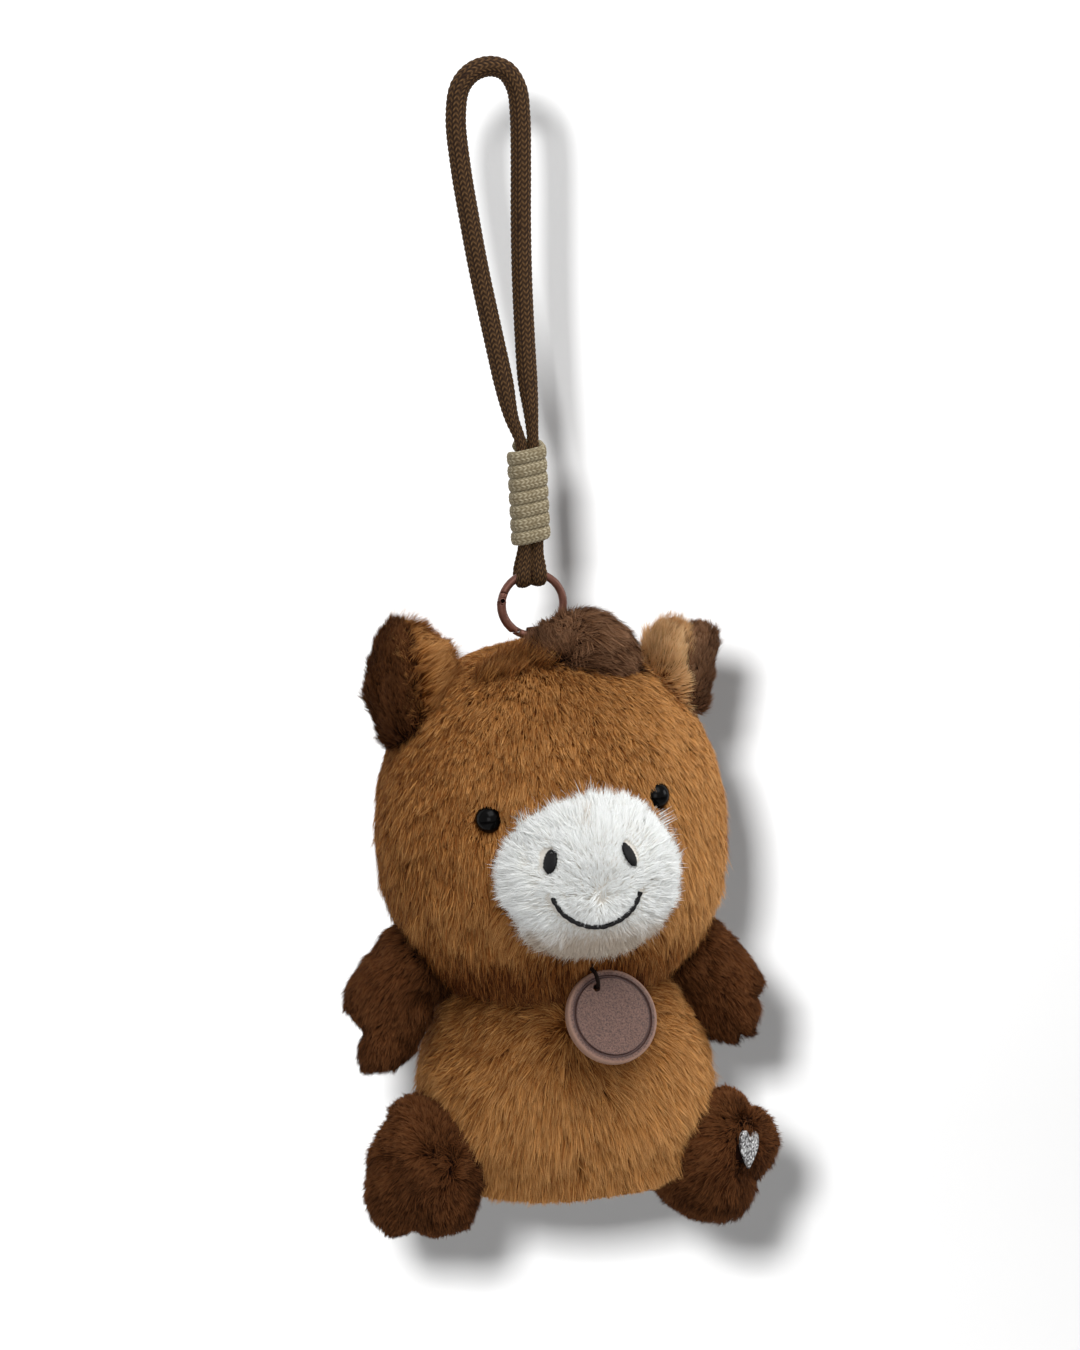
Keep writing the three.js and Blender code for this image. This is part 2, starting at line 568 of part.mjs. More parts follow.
// A small coil along the gate's bore that holds the gate shut
function gateSpring() {
  const bore = new RingArc(SPRING_START_ANGLE, SPRING_END_ANGLE - 4);
  const axis = bore.getPoint(1).sub(bore.getPoint(0)).normalize();
  const out = new THREE.Vector3(0, 1, 0).cross(axis).normalize();
  const start = bore.getPoint(0.08);
  const stepsPerCurl = 8;
  const centres = [];
  for (let step = 0; step <= SPRING_CURLS * stepsPerCurl; step++) {
    const turn = (2 * Math.PI * step) / stepsPerCurl;
    const point = start.clone().addScaledVector(axis, (SPRING_PITCH * step) / stepsPerCurl);
    point.addScaledVector(out, SPRING_RADIUS * Math.cos(turn));
    centres.push(point.add(new THREE.Vector3(0, SPRING_RADIUS * Math.sin(turn), 0)));
  }
  const rings = centres.map((centre, i) => {
    const along = centres[Math.min(i + 1, centres.length - 1)].clone().sub(centres[Math.max(i - 1, 0)]).normalize();
    const side = along.clone().cross(axis).normalize();
    const other = along.clone().cross(side);
    const ring = [];
    for (let k = 0; k < 5; k++) {
      const angle = (2 * Math.PI * k) / 5;
      const point = centre.clone().addScaledVector(side, SPRING_WIRE_RADIUS * Math.cos(angle));
      ring.push(point.addScaledVector(other, SPRING_WIRE_RADIUS * Math.sin(angle)));
    }
    return ring;
  });
  console.log(`gate spring: least gap between curls ${leastSelfGap(rings, stepsPerCurl / 2).toFixed(2)} mm`);
  return closedLoft(rings);
}

// Head, muzzle and body: each a plush skin, open where it is sewn on, round a wad of stuffing

const headOutside = toSolid(plumpForm(HEAD, SEW_GAP));
const headForm = toSolid(plumpForm(HEAD));
const headHollow = toSolid(plumpForm(coarser(HEAD), -SKIN));
const headStuffing = toSolid(plumpForm(coarser(HEAD), -SKIN - SEW_GAP));
const muzzleOutside = toSolid(plumpForm(MUZZLE, SEW_GAP));
const below = (z) => block([-CUT_REACH, -CUT_REACH, z - CUT_REACH], [CUT_REACH, CUT_REACH, z]);
const bodyForm = toSolid(plumpForm(BODY)).subtract(below(BODY_BASE_Z));
const bodyOutside = toSolid(plumpForm(BODY, SEW_GAP)).subtract(below(BODY_BASE_Z - SEW_GAP));
const headTop = HEAD.centre[2] + HEAD.half[2];

// The hang tab's outline from the side, round the ring's lowest wire and down through the crown
const TAB_WIRE_Z = RING_CENTRE_Z - RING_LINE;
const TAB_INNER_RADIUS = RING_WIRE_RADIUS + SEW_GAP + TAB_SLACK;

function tabSide(grow) {
  const width = TAB_WIDTH + 2 * grow;
  const ring = new THREE.CylinderGeometry(TAB_INNER_RADIUS + TAB_THICKNESS + grow, TAB_INNER_RADIUS + TAB_THICKNESS + grow, width, 24);
  const loop = toSolid(ring.rotateZ(Math.PI / 2).translate(0, 0, TAB_WIRE_Z + TAB_SLACK / 2));
  const anchorTop = headTop - SKIN - 4 * SEW_GAP;
  const stem = block([-width / 2, -TAB_STEM / 2 - grow, anchorTop - 1], [width / 2, TAB_STEM / 2 + grow, TAB_WIRE_Z - 1]);
  const anchorHalf = TAB_ANCHOR_WIDTH / 2 + grow;
  const anchorLow = anchorTop - TAB_ANCHOR_HEIGHT - grow;
  const anchor = block([-width / 2 - 1, -anchorHalf, anchorLow], [width / 2 + 1, anchorHalf, anchorTop + (grow ? 5 : 0)]);
  return { loop, stem, anchor };
}

function hangTab() {
  const { loop, stem, anchor } = tabSide(0);
  const eye = new THREE.CylinderGeometry(TAB_INNER_RADIUS, TAB_INNER_RADIUS, 2 * TAB_WIDTH, 20).rotateZ(Math.PI / 2);
  return loop.add(stem).subtract(toSolid(eye.translate(0, 0, TAB_WIRE_Z + TAB_SLACK / 2))).add(anchor);
}

function eyePlace(side) {
  return [FACE_X + side * sided(EYE_OUT, side), MUZZLE_Z + sided(EYE_RISE, side)];
}

// A cylinder into the head, square to its surface, from `from` to `to` below the surface
function intoHead(side, radius, from, to, segments = 12) {
  const [x, z] = eyePlace(side);
  const inwards = frontNormal(HEAD, x, z).negate();
  const surface = new THREE.Vector3(x, frontOf(HEAD, x, z), z);
  const geometry = new THREE.CylinderGeometry(radius, radius, to - from, segments);
  geometry.translate(0, (from + to) / 2, 0);
  geometry.applyQuaternion(new THREE.Quaternion().setFromUnitVectors(new THREE.Vector3(0, 1, 0), inwards));
  return toSolid(geometry.translate(surface.x, surface.y, surface.z));
}

const neckHole = (grow = 0) => {
  const low = HEAD.centre[2] - HEAD.half[2] - 5;
  return uprightCylinder(NECK_HOLE_RADIUS + grow, low, HEAD.centre[2] - 25, 0, BODY.centre[1]);
};

function headSkin() {
  const stemHoles = SIDES.map((side) => intoHead(side, EYE_STEM_RADIUS + SEW_GAP, -4, EYE_STEM_LENGTH));
  return cut(headForm, headHollow, neckHole(), tabSide(SEW_GAP).stem, ...stemHoles);
}

function headFill() {
  const eyePockets = SIDES.map((side) => intoHead(side, WASHER_RADIUS + SEW_GAP, -4, EYE_STEM_LENGTH + 1));
  const plug = neckHole(-SEW_GAP).intersect(headForm);
  return cut(headStuffing.add(plug), tabSide(SEW_GAP).anchor, ...eyePockets);
}

function muzzleSkin() {
  return cut(toSolid(plumpForm(MUZZLE)), toSolid(plumpForm(coarser(MUZZLE), -LIMB_SKIN)), headOutside);
}

function muzzleFill() {
  return cut(toSolid(plumpForm(coarser(MUZZLE), -LIMB_SKIN - SEW_GAP)), headOutside);
}

function bodySkin() {
  const hollow = toSolid(plumpForm(coarser(BODY), -SKIN)).subtract(below(BODY_BASE_Z + SKIN));
  return cut(bodyForm, hollow, headOutside);
}

function bodyFill() {
  const wad = toSolid(plumpForm(coarser(BODY), -SKIN - SEW_GAP));
  return cut(wad, below(BODY_BASE_Z + SKIN + SEW_GAP), headOutside);
}

// Face: safety eyes with their stems and washers, and embroidery on the muzzle

function eye(side) {
  const [x, z] = eyePlace(side);
  const sunk = frontNormal(HEAD, x, z).multiplyScalar(-EYE_RADIUS * EYE_SUNK);
  const dome = new THREE.SphereGeometry(EYE_RADIUS, 16, 10);
  dome.translate(x + sunk.x, frontOf(HEAD, x, z) + sunk.y, z + sunk.z);
  return toSolid(dome).subtract(headOutside).add(intoHead(side, EYE_STEM_RADIUS, -1, EYE_STEM_LENGTH));
}

function eyeWasher(side) {
  const disc = intoHead(side, WASHER_RADIUS, WASHER_DEPTH, WASHER_DEPTH + WASHER_THICKNESS);
  return disc.subtract(intoHead(side, EYE_STEM_RADIUS + SEW_GAP, 0, EYE_STEM_LENGTH));
}

function nostril(side) {
  const x = FACE_X + side * NOSTRIL_X;
  const geometry = new THREE.SphereGeometry(1, 10, 8);
  geometry.scale(...NOSTRIL_HALF).rotateY(radians(side * NOSTRIL_SLANT));
  const turn = new THREE.Quaternion();
  turn.setFromUnitVectors(new THREE.Vector3(0, -1, 0), frontNormal(MUZZLE, x, NOSTRIL_Z));
  geometry.applyQuaternion(turn).translate(x, frontOf(MUZZLE, x, NOSTRIL_Z) - SEW_GAP, NOSTRIL_Z);
  return toSolid(geometry).subtract(muzzleOutside);
}

function smileStitch() {
  const points = [];
  const count = 9;
  for (let i = 0; i < count; i++) {
    const angle = radians(THREE.MathUtils.lerp(SMILE_FROM, SMILE_TO, i / (count - 1)));
    const x = SMILE_X + SMILE_RADIUS * Math.cos(angle);
    const z = SMILE_CENTRE_Z + SMILE_RADIUS * Math.sin(angle);
    const out = frontNormal(MUZZLE, x, z).multiplyScalar(SEW_GAP + SMILE_THREAD_RADIUS + 0.1);
    points.push([x + out.x, frontOf(MUZZLE, x, z) + out.y, z + out.z]);
  }
  return sweptForm(curveThrough(points), 14, 6, () => SMILE_THREAD_RADIUS);
}

// Ears and hair

function ear(side) {
  const [x, z] = [sided(EAR_X, side), sided(EAR_Z, side)];
  const place = (geometry) => {
    geometry.rotateX(radians(-4)).rotateY(radians(side * EAR_LEAN));
    return toSolid(geometry.rotateZ(radians(side * (90 - EAR_TURN) * -1)).translate(side * x, EAR_Y, z));
  };
  const leaf = place(plumpForm(EAR)).subtract(headOutside);
  const size = 60;
  const halfSpace = (outwards) => {
    const shift = outwards * side * (size / 2 + SEW_GAP / 2);
    return place(new THREE.BoxGeometry(size, size, size).translate(shift, 0, 0));
  };
  return { lining: leaf.intersect(halfSpace(1)), back: leaf.intersect(halfSpace(-1)) };
}

function forelock() {
  const ringRoom = uprightCylinder(RING_OUTER_RADIUS + FORELOCK_RING_ROOM, RING_CENTRE_Z - 11.3, RING_CENTRE_Z + 5.1);
  const tuft = cut(toSolid(plumpForm(FORELOCK)), headOutside, ringRoom);
  return cut(tuft, tabSide(SEW_GAP).stem, tabSide(SEW_GAP).loop);
}

// The mane's ridge follows the back of the head from the crown to the nape
function mane() {
  const points = [];
  const count = 8;
  for (let i = 0; i < count; i++) {
    const angle = radians(THREE.MathUtils.lerp(MANE_FROM, MANE_TO, i / (count - 1)));
    const height = Math.sin(angle);
    const y = HEAD.centre[1] + HEAD.half[1] * fullness(HEAD, height);
    points.push([0, y - 1, HEAD.centre[2] + HEAD.half[2] * height]);
  }
  const swell = (t) => MANE_HALF_WIDTH * (0.35 + 0.65 * Math.sin(Math.PI * t) ** 0.5);
  return toSolid(sweptForm(curveThrough(points), 14, 8, swell)).subtract(headOutside);
}

function tail() {
  const swell = (t) => TAIL_RADIUS * (0.55 + 0.45 * Math.sin(Math.PI * t)) * (1 - 0.5 * t);
  return toSolid(sweptForm(curveThrough(TAIL_SPINE), 8, 8, swell)).subtract(bodyOutside);
}

// Limbs

// What a limb must stay clear of while its seam bends about the X axis through a pivot
function sweptObstacles(pivot, angles, shapes) {
  const [, y, z] = pivot;
  let all = null;
  for (const angle of angles) {
    for (const { shape, floor } of shapes) {
      const geometry = plumpForm(shape, SEW_GAP).translate(0, -y, -z).rotateX(radians(angle)).translate(0, y, z);
      let solid = toSolid(geometry);
      if (floor !== undefined) solid = solid.subtract(below(floor - 4));
      all = all ? all.add(solid) : solid;
    }
  }
  return all;
}

function sided(values, side) {
  return side < 0 ? values.right : values.left;
}

function limbPoint(point, shift, side) {
  const [out, forward, up] = sided(shift, side);
  return [side * (point[0] + out), point[1] - forward, BODY_Z + point[2] + up];
}

function armSolid(side, shrink) {
  const spine = curveThrough(ARM_SPINE.map((point) => limbPoint(point, ARM_SHIFT, side)));
  const rounded = (t) => Math.max(1 - Math.abs(2 * t - 1) ** 3.2, 0.02) ** 0.5;
  return sweptForm(spine, 13, 14, (t) => Math.max((ARM_RADIUS - 1.4 * t) * rounded(t) - shrink, 0.4));
}

function arm(side) {
  const pivot = limbPoint(ARM_PIVOT, ARM_SHIFT, side);
  const obstacles = sweptObstacles(pivot, ARM_SWING.map((angle) => -angle), [{ shape: BODY }, { shape: HEAD }]);
  const skin = cut(toSolid(armSolid(side, 0)), toSolid(armSolid(side, LIMB_SKIN)), obstacles);
  const fill = toSolid(armSolid(side, LIMB_SKIN + SEW_GAP)).subtract(obstacles);
  return { skin, fill };
}

function legDirection(side) {
  const hip = new THREE.Vector3(...limbPoint(LEG_HIP, LEG_SHIFT, side));
  return new THREE.Vector3(...limbPoint(LEG_FOOT, LEG_SHIFT, side)).sub(hip).normalize();
}

function legSolid(side, shrink) {
  const hip = new THREE.Vector3(...limbPoint(LEG_HIP, LEG_SHIFT, side));
  const foot = new THREE.Vector3(...limbPoint(LEG_FOOT, LEG_SHIFT, side));
  const direction = legDirection(side);
  hip.addScaledVector(direction, shrink / 2);
  foot.addScaledVector(direction, -shrink);
  const spine = new THREE.LineCurve3(hip, foot);
  const radiusAt = (t) => {
    const cone = THREE.MathUtils.lerp(LEG_HIP_RADIUS, LEG_FOOT_RADIUS, THREE.MathUtils.smoothstep(t, 0, 0.75));
    const heel = t > 0.75 ? Math.sqrt(1 - 0.42 * ((t - 0.75) / 0.25) ** 2) : 1;
    return cone * heel - shrink;
  };
  const round = sweptForm(spine, 9, 16, radiusAt);
  return round.translate(0, 0, -foot.z).scale(1, 1, LEG_HEIGHT_RATIO).translate(0, 0, foot.z);
}

function leg(side) {
  const pivot = limbPoint(LEG_PIVOT, LEG_SHIFT, side);
  const obstacles = sweptObstacles(pivot, LEG_SWING.map((angle) => -angle), [{ shape: BODY }]);
  const skin = cut(toSolid(legSolid(side, 0)), toSolid(legSolid(side, LIMB_SKIN)), obstacles);
  const fill = toSolid(legSolid(side, LIMB_SKIN + SEW_GAP)).subtract(obstacles);
  return { skin, fill };
}

// A heart patch on the sole of the toy's left foot
function soleHeart() {
  const heart = new THREE.Shape();
  const size = HEART_HALF;
  heart.moveTo(0, -size);
  heart.bezierCurveTo(0.5 * size, -0.5 * size, 1.1 * size, 0, 0.95 * size, 0.55 * size);
  heart.bezierCurveTo(0.85 * size, 1.05 * size, 0.25 * size, 1.1 * size, 0, 0.55 * size);
  heart.bezierCurveTo(-0.25 * size, 1.1 * size, -0.85 * size, 1.05 * size, -0.95 * size, 0.55 * size);
  heart.bezierCurveTo(-1.1 * size, 0, -0.5 * size, -0.5 * size, 0, -size);
  const geometry = new THREE.ExtrudeGeometry(heart, { depth: HEART_THICKNESS, bevelEnabled: false, curveSegments: 5 });
  const direction = legDirection(1);
  geometry.translate(...HEART_OFFSET, 0);
  const turn = new THREE.Matrix4().lookAt(direction, new THREE.Vector3(), new THREE.Vector3(0, 0, 1));
  geometry.applyMatrix4(turn);
  const foot = new THREE.Vector3(...limbPoint(LEG_FOOT, LEG_SHIFT, 1)).addScaledVector(direction, SEW_GAP);
  return geometry.translate(foot.x, foot.y, foot.z);
}

// Tag: its face looks along -Y before it is turned

function tagDisc() {
  const half = TAG_THICKNESS / 2;
  const grooveOut = TAG_GROOVE_RADIUS + TAG_GROOVE_WIDTH / 2;
  const grooveIn = TAG_GROOVE_RADIUS - TAG_GROOVE_WIDTH / 2;
  const outline = [[0, -half], [TAG_RADIUS - TAG_EDGE, -half], [TAG_RADIUS, TAG_EDGE - half],
    [TAG_RADIUS, half - TAG_EDGE], [TAG_RADIUS - TAG_EDGE, half], [grooveOut, half],
    [TAG_GROOVE_RADIUS, half - TAG_GROOVE_DEPTH], [grooveIn, half], [0, half]];
  const disc = new THREE.LatheGeometry(outline.map(([x, y]) => new THREE.Vector2(x, y)), 32);
  disc.rotateX(Math.PI);
  const hole = crossCylinder(TAG_HOLE_RADIUS, 2 * TAG_THICKNESS, 0, TAG_HOLE_OFFSET, 0, 12);
  return toGeometry(toSolid(disc).subtract(hole));
}

function tagPlace(geometry) {
  geometry.rotateY(radians(-TAG_SPIN)).rotateX(radians(-TAG_TILT)).rotateZ(radians(TAG_TURN));
  return geometry.translate(...TAG_CENTRE);
}

// The string goes from the neck seam through the tag's hole and back, as one closed loop cut at the seam
function tagString() {
  const place = (y, z, x = 0) => {
    const spot = tagPlace(new THREE.BufferGeometry().setFromPoints([new THREE.Vector3(x, y, z)]));
    return new THREE.Vector3().fromBufferAttribute(spot.attributes.position, 0).toArray();
  };
  const half = TAG_THICKNESS / 2;
  const clear = half + STRING_RADIUS + SEW_GAP;
  const edge = TAG_RADIUS + STRING_RADIUS + SEW_GAP;
  const [x, z] = [STRING_TOP_X, STRING_TOP_Z];
  const y = frontOf(HEAD, x, z) - SEW_GAP - STRING_RADIUS - 0.2;
  const points = [[x - 1.2, y, z], place(clear + 0.4, edge - 1, -0.6), place(clear, TAG_HOLE_OFFSET + 1.5, -0.3),
    place(half, TAG_HOLE_OFFSET + 0.2, 0), place(-half, TAG_HOLE_OFFSET + 0.2, 0),
    place(-clear, TAG_HOLE_OFFSET + 1.5, 0.3), place(-clear, edge - 1.2, 0.6),
    place(0, edge + 0.4, 0.8), [x + 1.2, y - 0.6, z + 0.4]];
  return sweptForm(curveThrough(points), 26, 6, () => STRING_RADIUS);
}

// Assembly

add('strap_cord', strapCord(), 'strap');
add('whipping', whipping(), 'whipping');

const ring = new THREE.Group();
ring.position.z = RING_CENTRE_Z;
group.add(ring);
add('ring_body', ringBody(), 'metal', ring);
add('ring_gate', ringGate(), 'metal', ring);
add('gate_pin', gatePin(), 'metal', ring);
add('gate_spring', gateSpring(), 'steel', ring);

add('hang_tab', hangTab(), 'tab');
add('head_skin', headSkin(), 'caramel');
add('head_fill', headFill(), 'stuffing');
add('muzzle_skin', muzzleSkin(), 'white');
add('muzzle_fill', muzzleFill(), 'stuffing');
add('forelock', forelock(), 'dark');
add('mane', mane(), 'dark');
add('smile_stitch', smileStitch(), 'thread');
add('body_skin', bodySkin(), 'caramel');
add('body_fill', bodyFill(), 'stuffing');
add('tail', tail(), 'dark');

for (const side of SIDES) {
  const label = side < 0 ? 'right' : 'left';
  add(`eye_${label}`, eye(side), 'black');
  add(`eye_washer_${label}`, eyeWasher(side), 'washer');
  add(`nostril_${label}`, nostril(side), 'thread');
  const { lining, back } = ear(side);
  add(`ear_${label}_back`, back, 'caramel');
  add(`ear_${label}_lining`, lining, 'dark');
  const armPieces = arm(side);
  add(`arm_${label}_skin`, armPieces.skin, 'dark');
  add(`arm_${label}_fill`, armPieces.fill, 'stuffing');
  const legPieces = leg(side);
  add(`leg_${label}_skin`, legPieces.skin, 'dark');
  add(`leg_${label}_fill`, legPieces.fill, 'stuffing');
}

add('sole_heart', soleHeart(), 'glitter');
add('tag_disc', tagPlace(tagDisc()), 'leather');
add('tag_string', tagString(), 'thread');

export default group;
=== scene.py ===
"""Looks of a stuffed pony that hangs by a sprung ring and a doubled wrist cord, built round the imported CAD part."""

import math
from math import radians

import bmesh
import bpy
import numpy as np
from mathutils import Matrix, Vector
from mathutils.bvhtree import BVHTree
from mathutils.kdtree import KDTree


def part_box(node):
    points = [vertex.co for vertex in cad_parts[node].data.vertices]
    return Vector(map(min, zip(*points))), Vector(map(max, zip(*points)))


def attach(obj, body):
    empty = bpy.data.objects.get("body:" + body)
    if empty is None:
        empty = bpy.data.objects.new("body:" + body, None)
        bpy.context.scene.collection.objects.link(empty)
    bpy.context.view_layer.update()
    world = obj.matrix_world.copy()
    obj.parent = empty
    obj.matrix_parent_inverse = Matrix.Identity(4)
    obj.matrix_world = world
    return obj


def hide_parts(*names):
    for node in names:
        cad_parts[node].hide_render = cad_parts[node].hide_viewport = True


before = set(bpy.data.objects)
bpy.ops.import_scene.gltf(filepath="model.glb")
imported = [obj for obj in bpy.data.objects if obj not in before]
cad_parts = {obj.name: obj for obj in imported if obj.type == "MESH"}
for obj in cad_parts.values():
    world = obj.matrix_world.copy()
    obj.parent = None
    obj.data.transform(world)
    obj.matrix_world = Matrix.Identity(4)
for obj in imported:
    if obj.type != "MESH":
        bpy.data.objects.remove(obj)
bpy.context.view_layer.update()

MM = 0.001
UP = np.array([0.0, 0.0, 1.0])
PILE_MAP = "OFBake"  # strand shade across, root to tip upwards

# Sizes that the CAD source also has, in millimetres
RING_Z = -145.1
RING_LINE = 8.75
RING_WIRE = 1.15
HEAD_Z = RING_Z - 60.8
MUZZLE_Z = HEAD_Z - 7.2
BODY_Z = HEAD_Z - 75.2
WHIPPING_LOW = RING_Z + 18
BUNDLE_LOW, BUNDLE_HIGH = WHIPPING_LOW - 0.9, WHIPPING_LOW + 27.1
STRAND_APART, BOUND_RADIUS = 3.3, 1.5
LOOP_LOW = WHIPPING_LOW + 35.1
FACE_X = 0.4
EYE_Z = {"left": MUZZLE_Z + 18, "right": MUZZLE_Z + 17.2}
EYE_X = {"left": FACE_X + 24, "right": FACE_X - 23.2}
NOSTRIL_ACROSS, NOSTRIL_Z, NOSTRIL_LEAN = 10.5, MUZZLE_Z + 8.5, 24
SMILE_X, SMILE_Z, SMILE_RADIUS = 1.1, MUZZLE_Z + 2.9, 12.4
BASE_Z = BODY_Z - 30.2
TAG_RADIUS, TAG_THICK = 13.1, 3
TAG_CENTRE = np.array([5.6, -41.0, BODY_Z + 27.1])
TAG_TURN = Matrix.Rotation(radians(14), 3, "Z") @ Matrix.Rotation(radians(-27), 3, "X")
TAG_TURN = TAG_TURN @ Matrix.Rotation(radians(-16), 3, "Y")
TAG_AXIS = np.array(TAG_TURN @ Vector((0, 1, 0)))  # from its face to its back


# Objects and operators


def tuned(thing, **values):
    """Sets properties of a thing and gives it back."""
    for name, value in values.items():
        setattr(thing, name, value)
    return thing


def deselect():
    if bpy.context.object and bpy.context.object.mode != "OBJECT":
        bpy.ops.object.mode_set(mode="OBJECT")
    bpy.ops.object.select_all(action="DESELECT")


def pick(piece):
    deselect()
    piece.select_set(True)
    bpy.context.view_layer.objects.active = piece


def edit_all(piece, operator, **options):
    """Runs an edit operator on the whole of a piece."""
    pick(piece)
    bpy.ops.object.mode_set(mode="EDIT")
    bpy.ops.mesh.select_all(action="SELECT")
    operator(**options)
    bpy.ops.object.mode_set(mode="OBJECT")


def named(name):
    """Names the object that an operator has just made, with its place put into its mesh."""
    piece = tuned(bpy.context.object, name=name)
    piece.data.name = name
    bpy.ops.object.transform_apply(location=True, rotation=True, scale=True)
    return piece


def apply_modifiers(piece):
    pick(piece)
    for modifier in list(piece.modifiers):
        bpy.ops.object.modifier_apply(modifier=modifier.name)


def linked(name, mesh):
    """A new object in the scene for a mesh."""
    piece = bpy.data.objects.new(name, mesh)
    bpy.context.scene.collection.objects.link(piece)
    return piece


def copy_of(node, name):
    """A CAD node's mesh as a new object, with its loose triangles merged."""
    piece = linked(name, tuned(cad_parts[node].data.copy(), name=name))
    piece.data.materials.clear()
    edit_all(piece, bpy.ops.mesh.remove_doubles, threshold=1e-6)
    return piece


def joined(name, pieces):
    deselect()
    for piece in pieces:
        piece.select_set(True)
    bpy.context.view_layer.objects.active = pieces[0]
    if len(pieces) > 1:
        bpy.ops.object.join()
    pieces[0].name = name
    pieces[0].data.name = name
    return pieces[0]


def shade_smooth(mesh):
    mesh.polygons.foreach_set("use_smooth", [True] * len(mesh.polygons))


def mesh_piece(name, points, faces):
    """A smooth mesh from points in metres."""
    mesh = bpy.data.meshes.new(name)
    mesh.from_pydata([tuple(p) for p in points], [], [tuple(f) for f in faces])
    mesh.update()
    shade_smooth(mesh)
    return linked(name, mesh)


def stored_points(piece):
    """A mesh's points as they are stored, in metres."""
    points = np.zeros(len(piece.data.vertices) * 3, np.float32)
    piece.data.vertices.foreach_get("co", points)
    return points.reshape(-1, 3)


def points_of(piece):
    """A mesh's points, in millimetres."""
    return stored_points(piece).astype(float) / MM


def move_points(piece, points):
    """Moves a mesh's points to places in metres."""
    piece.data.vertices.foreach_set("co", points.astype(np.float32).ravel())
    piece.data.update()


def dress(piece, material):
    piece.data.materials.clear()
    piece.data.materials.append(material)


def finish_piece(piece, finish, body, node):
    """Gives a piece its finish, lets it ride a body and take a CAD node's place."""
    dress(piece, FINISH[finish])
    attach(piece, body)
    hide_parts(node)


# Camera, lamps and backdrop

VIEW_DISTANCE = 900.0
BACKDROP_SEEN = (0.8, 0.8, 0.8, 1)
BACKDROP_LIGHTING = (0.5, 0.5, 0.5, 1)
MIDDLE = Vector((0, 0, -0.165))


def make_camera():
    azimuth, elevation, roll = radians(-10), radians(12), radians(4.5)
    flat = math.cos(elevation)
    forward = Vector((-math.sin(azimuth) * flat, math.cos(azimuth) * flat, -math.sin(elevation)))
    level = Vector((math.cos(azimuth), math.sin(azimuth), 0))
    right = math.cos(roll) * level - math.sin(roll) * level.cross(forward)
    upward = right.cross(forward)
    target = Vector((0.6, 0, -165.4)) * MM
    bpy.ops.object.camera_add()
    camera = tuned(bpy.context.object, name="camera")
    turn = Matrix((right, upward, -forward)).transposed().to_4x4()
    camera.matrix_world = Matrix.Translation(target - forward * (VIEW_DISTANCE * MM)) @ turn
    tuned(camera.data, sensor_width=36, lens=85.7, clip_start=0.05, clip_end=20)
    bpy.context.scene.camera = camera
    return camera


def soft_lamp(name, azimuth, elevation, distance, size, watts, lights):
    """A square lamp that looks at the object from an azimuth (0 is the front) and lights only a collection."""
    a, e = radians(azimuth), radians(elevation)
    back = Vector((math.sin(a) * math.cos(e), -math.cos(a) * math.cos(e), math.sin(e)))
    bpy.ops.object.light_add(type="AREA", location=MIDDLE + back * distance)
    lamp = tuned(bpy.context.object, name=name, rotation_mode="QUATERNION")
    lamp.rotation_quaternion = (-back).to_track_quat("-Z", "Y")
    tuned(lamp.data, shape="SQUARE", size=size, energy=watts)
    lamp.light_linking.receiver_collection = lights


def backdrop():
    """A wall behind the object that curves into a floor below it."""
    wall_y, floor_z, cove, half_wide = 0.14, -0.62, 0.25, 2.2
    profile = [(wall_y, 1.6)]
    for step in range(13):
        angle = radians(90 * step / 12)
        profile.append((wall_y - cove + cove * math.cos(angle), floor_z + cove - cove * math.sin(angle)))
    profile.append((-2.6, floor_z))
    points = [(x, y, z) for y, z in profile for x in (-half_wide, half_wide)]
    faces = [(2 * i, 2 * i + 2, 2 * i + 3, 2 * i + 1) for i in range(len(profile) - 1)]
    sweep = mesh_piece("backdrop", points, faces)
    paint = Paint("backdrop_paint")
    rays = paint.add("LightPath").outputs
    direct = paint.maths("MAXIMUM", rays["Is Camera Ray"], rays["Is Glossy Ray"])
    seen = paint.maths("MAXIMUM", direct, rays["Is Transmission Ray"])
    diffuse, choice = paint.add("BsdfDiffuse"), paint.add("MixShader")
    paint.feed(diffuse.inputs["Color"], paint.mix(seen, BACKDROP_LIGHTING, BACKDROP_SEEN))
    paint.feed(choice.inputs["Fac"], paint.add("NewGeometry").outputs["Backfacing"])
    paint.feed(choice.inputs[1], diffuse.outputs[0])
    paint.feed(choice.inputs[2], paint.add("BsdfTransparent").outputs[0])
    paint.feed(paint.nodes["Material Output"].inputs["Surface"], choice.outputs[0])
    paint.nodes.remove(paint.shader)
    dress(sweep, paint.material)


def light_the_room():
    scene = bpy.context.scene
    scene.view_settings.view_transform = "Standard"
    scene.world = bpy.data.worlds.new("room")
    scene.world.use_nodes = True
    room = Shading(scene.world.node_tree)
    sky = room.nodes["Background"].inputs
    sky["Color"].default_value = (1, 1, 1, 1)
    rays = room.add("LightPath").outputs
    seen = room.maths("MAXIMUM", rays["Is Camera Ray"], rays["Is Glossy Ray"])
    room.feed(sky["Strength"], room.ramp(seen, to_low=0.22, to_high=1.0))
    wall = bpy.data.objects["backdrop"]
    walls = bpy.data.collections.new("backdrop_only")
    walls.objects.link(wall)
    soft_lamp("shadow_lamp", -14.2, 17, 0.95, 0.072, 15, walls)
    others = bpy.data.collections.new("object_only")
    others.objects.link(wall)
    others.collection_objects[0].light_linking.link_state = "EXCLUDE"
    soft_lamp("softbox", 14, 58, 1.5, 1.1, 17, others)
    soft_lamp("front_fill", -14, 12, 1.8, 0.8, 8, others)
    soft_lamp("side_lamp", 78, 14, 1.5, 0.6, 7, others)


# Materials


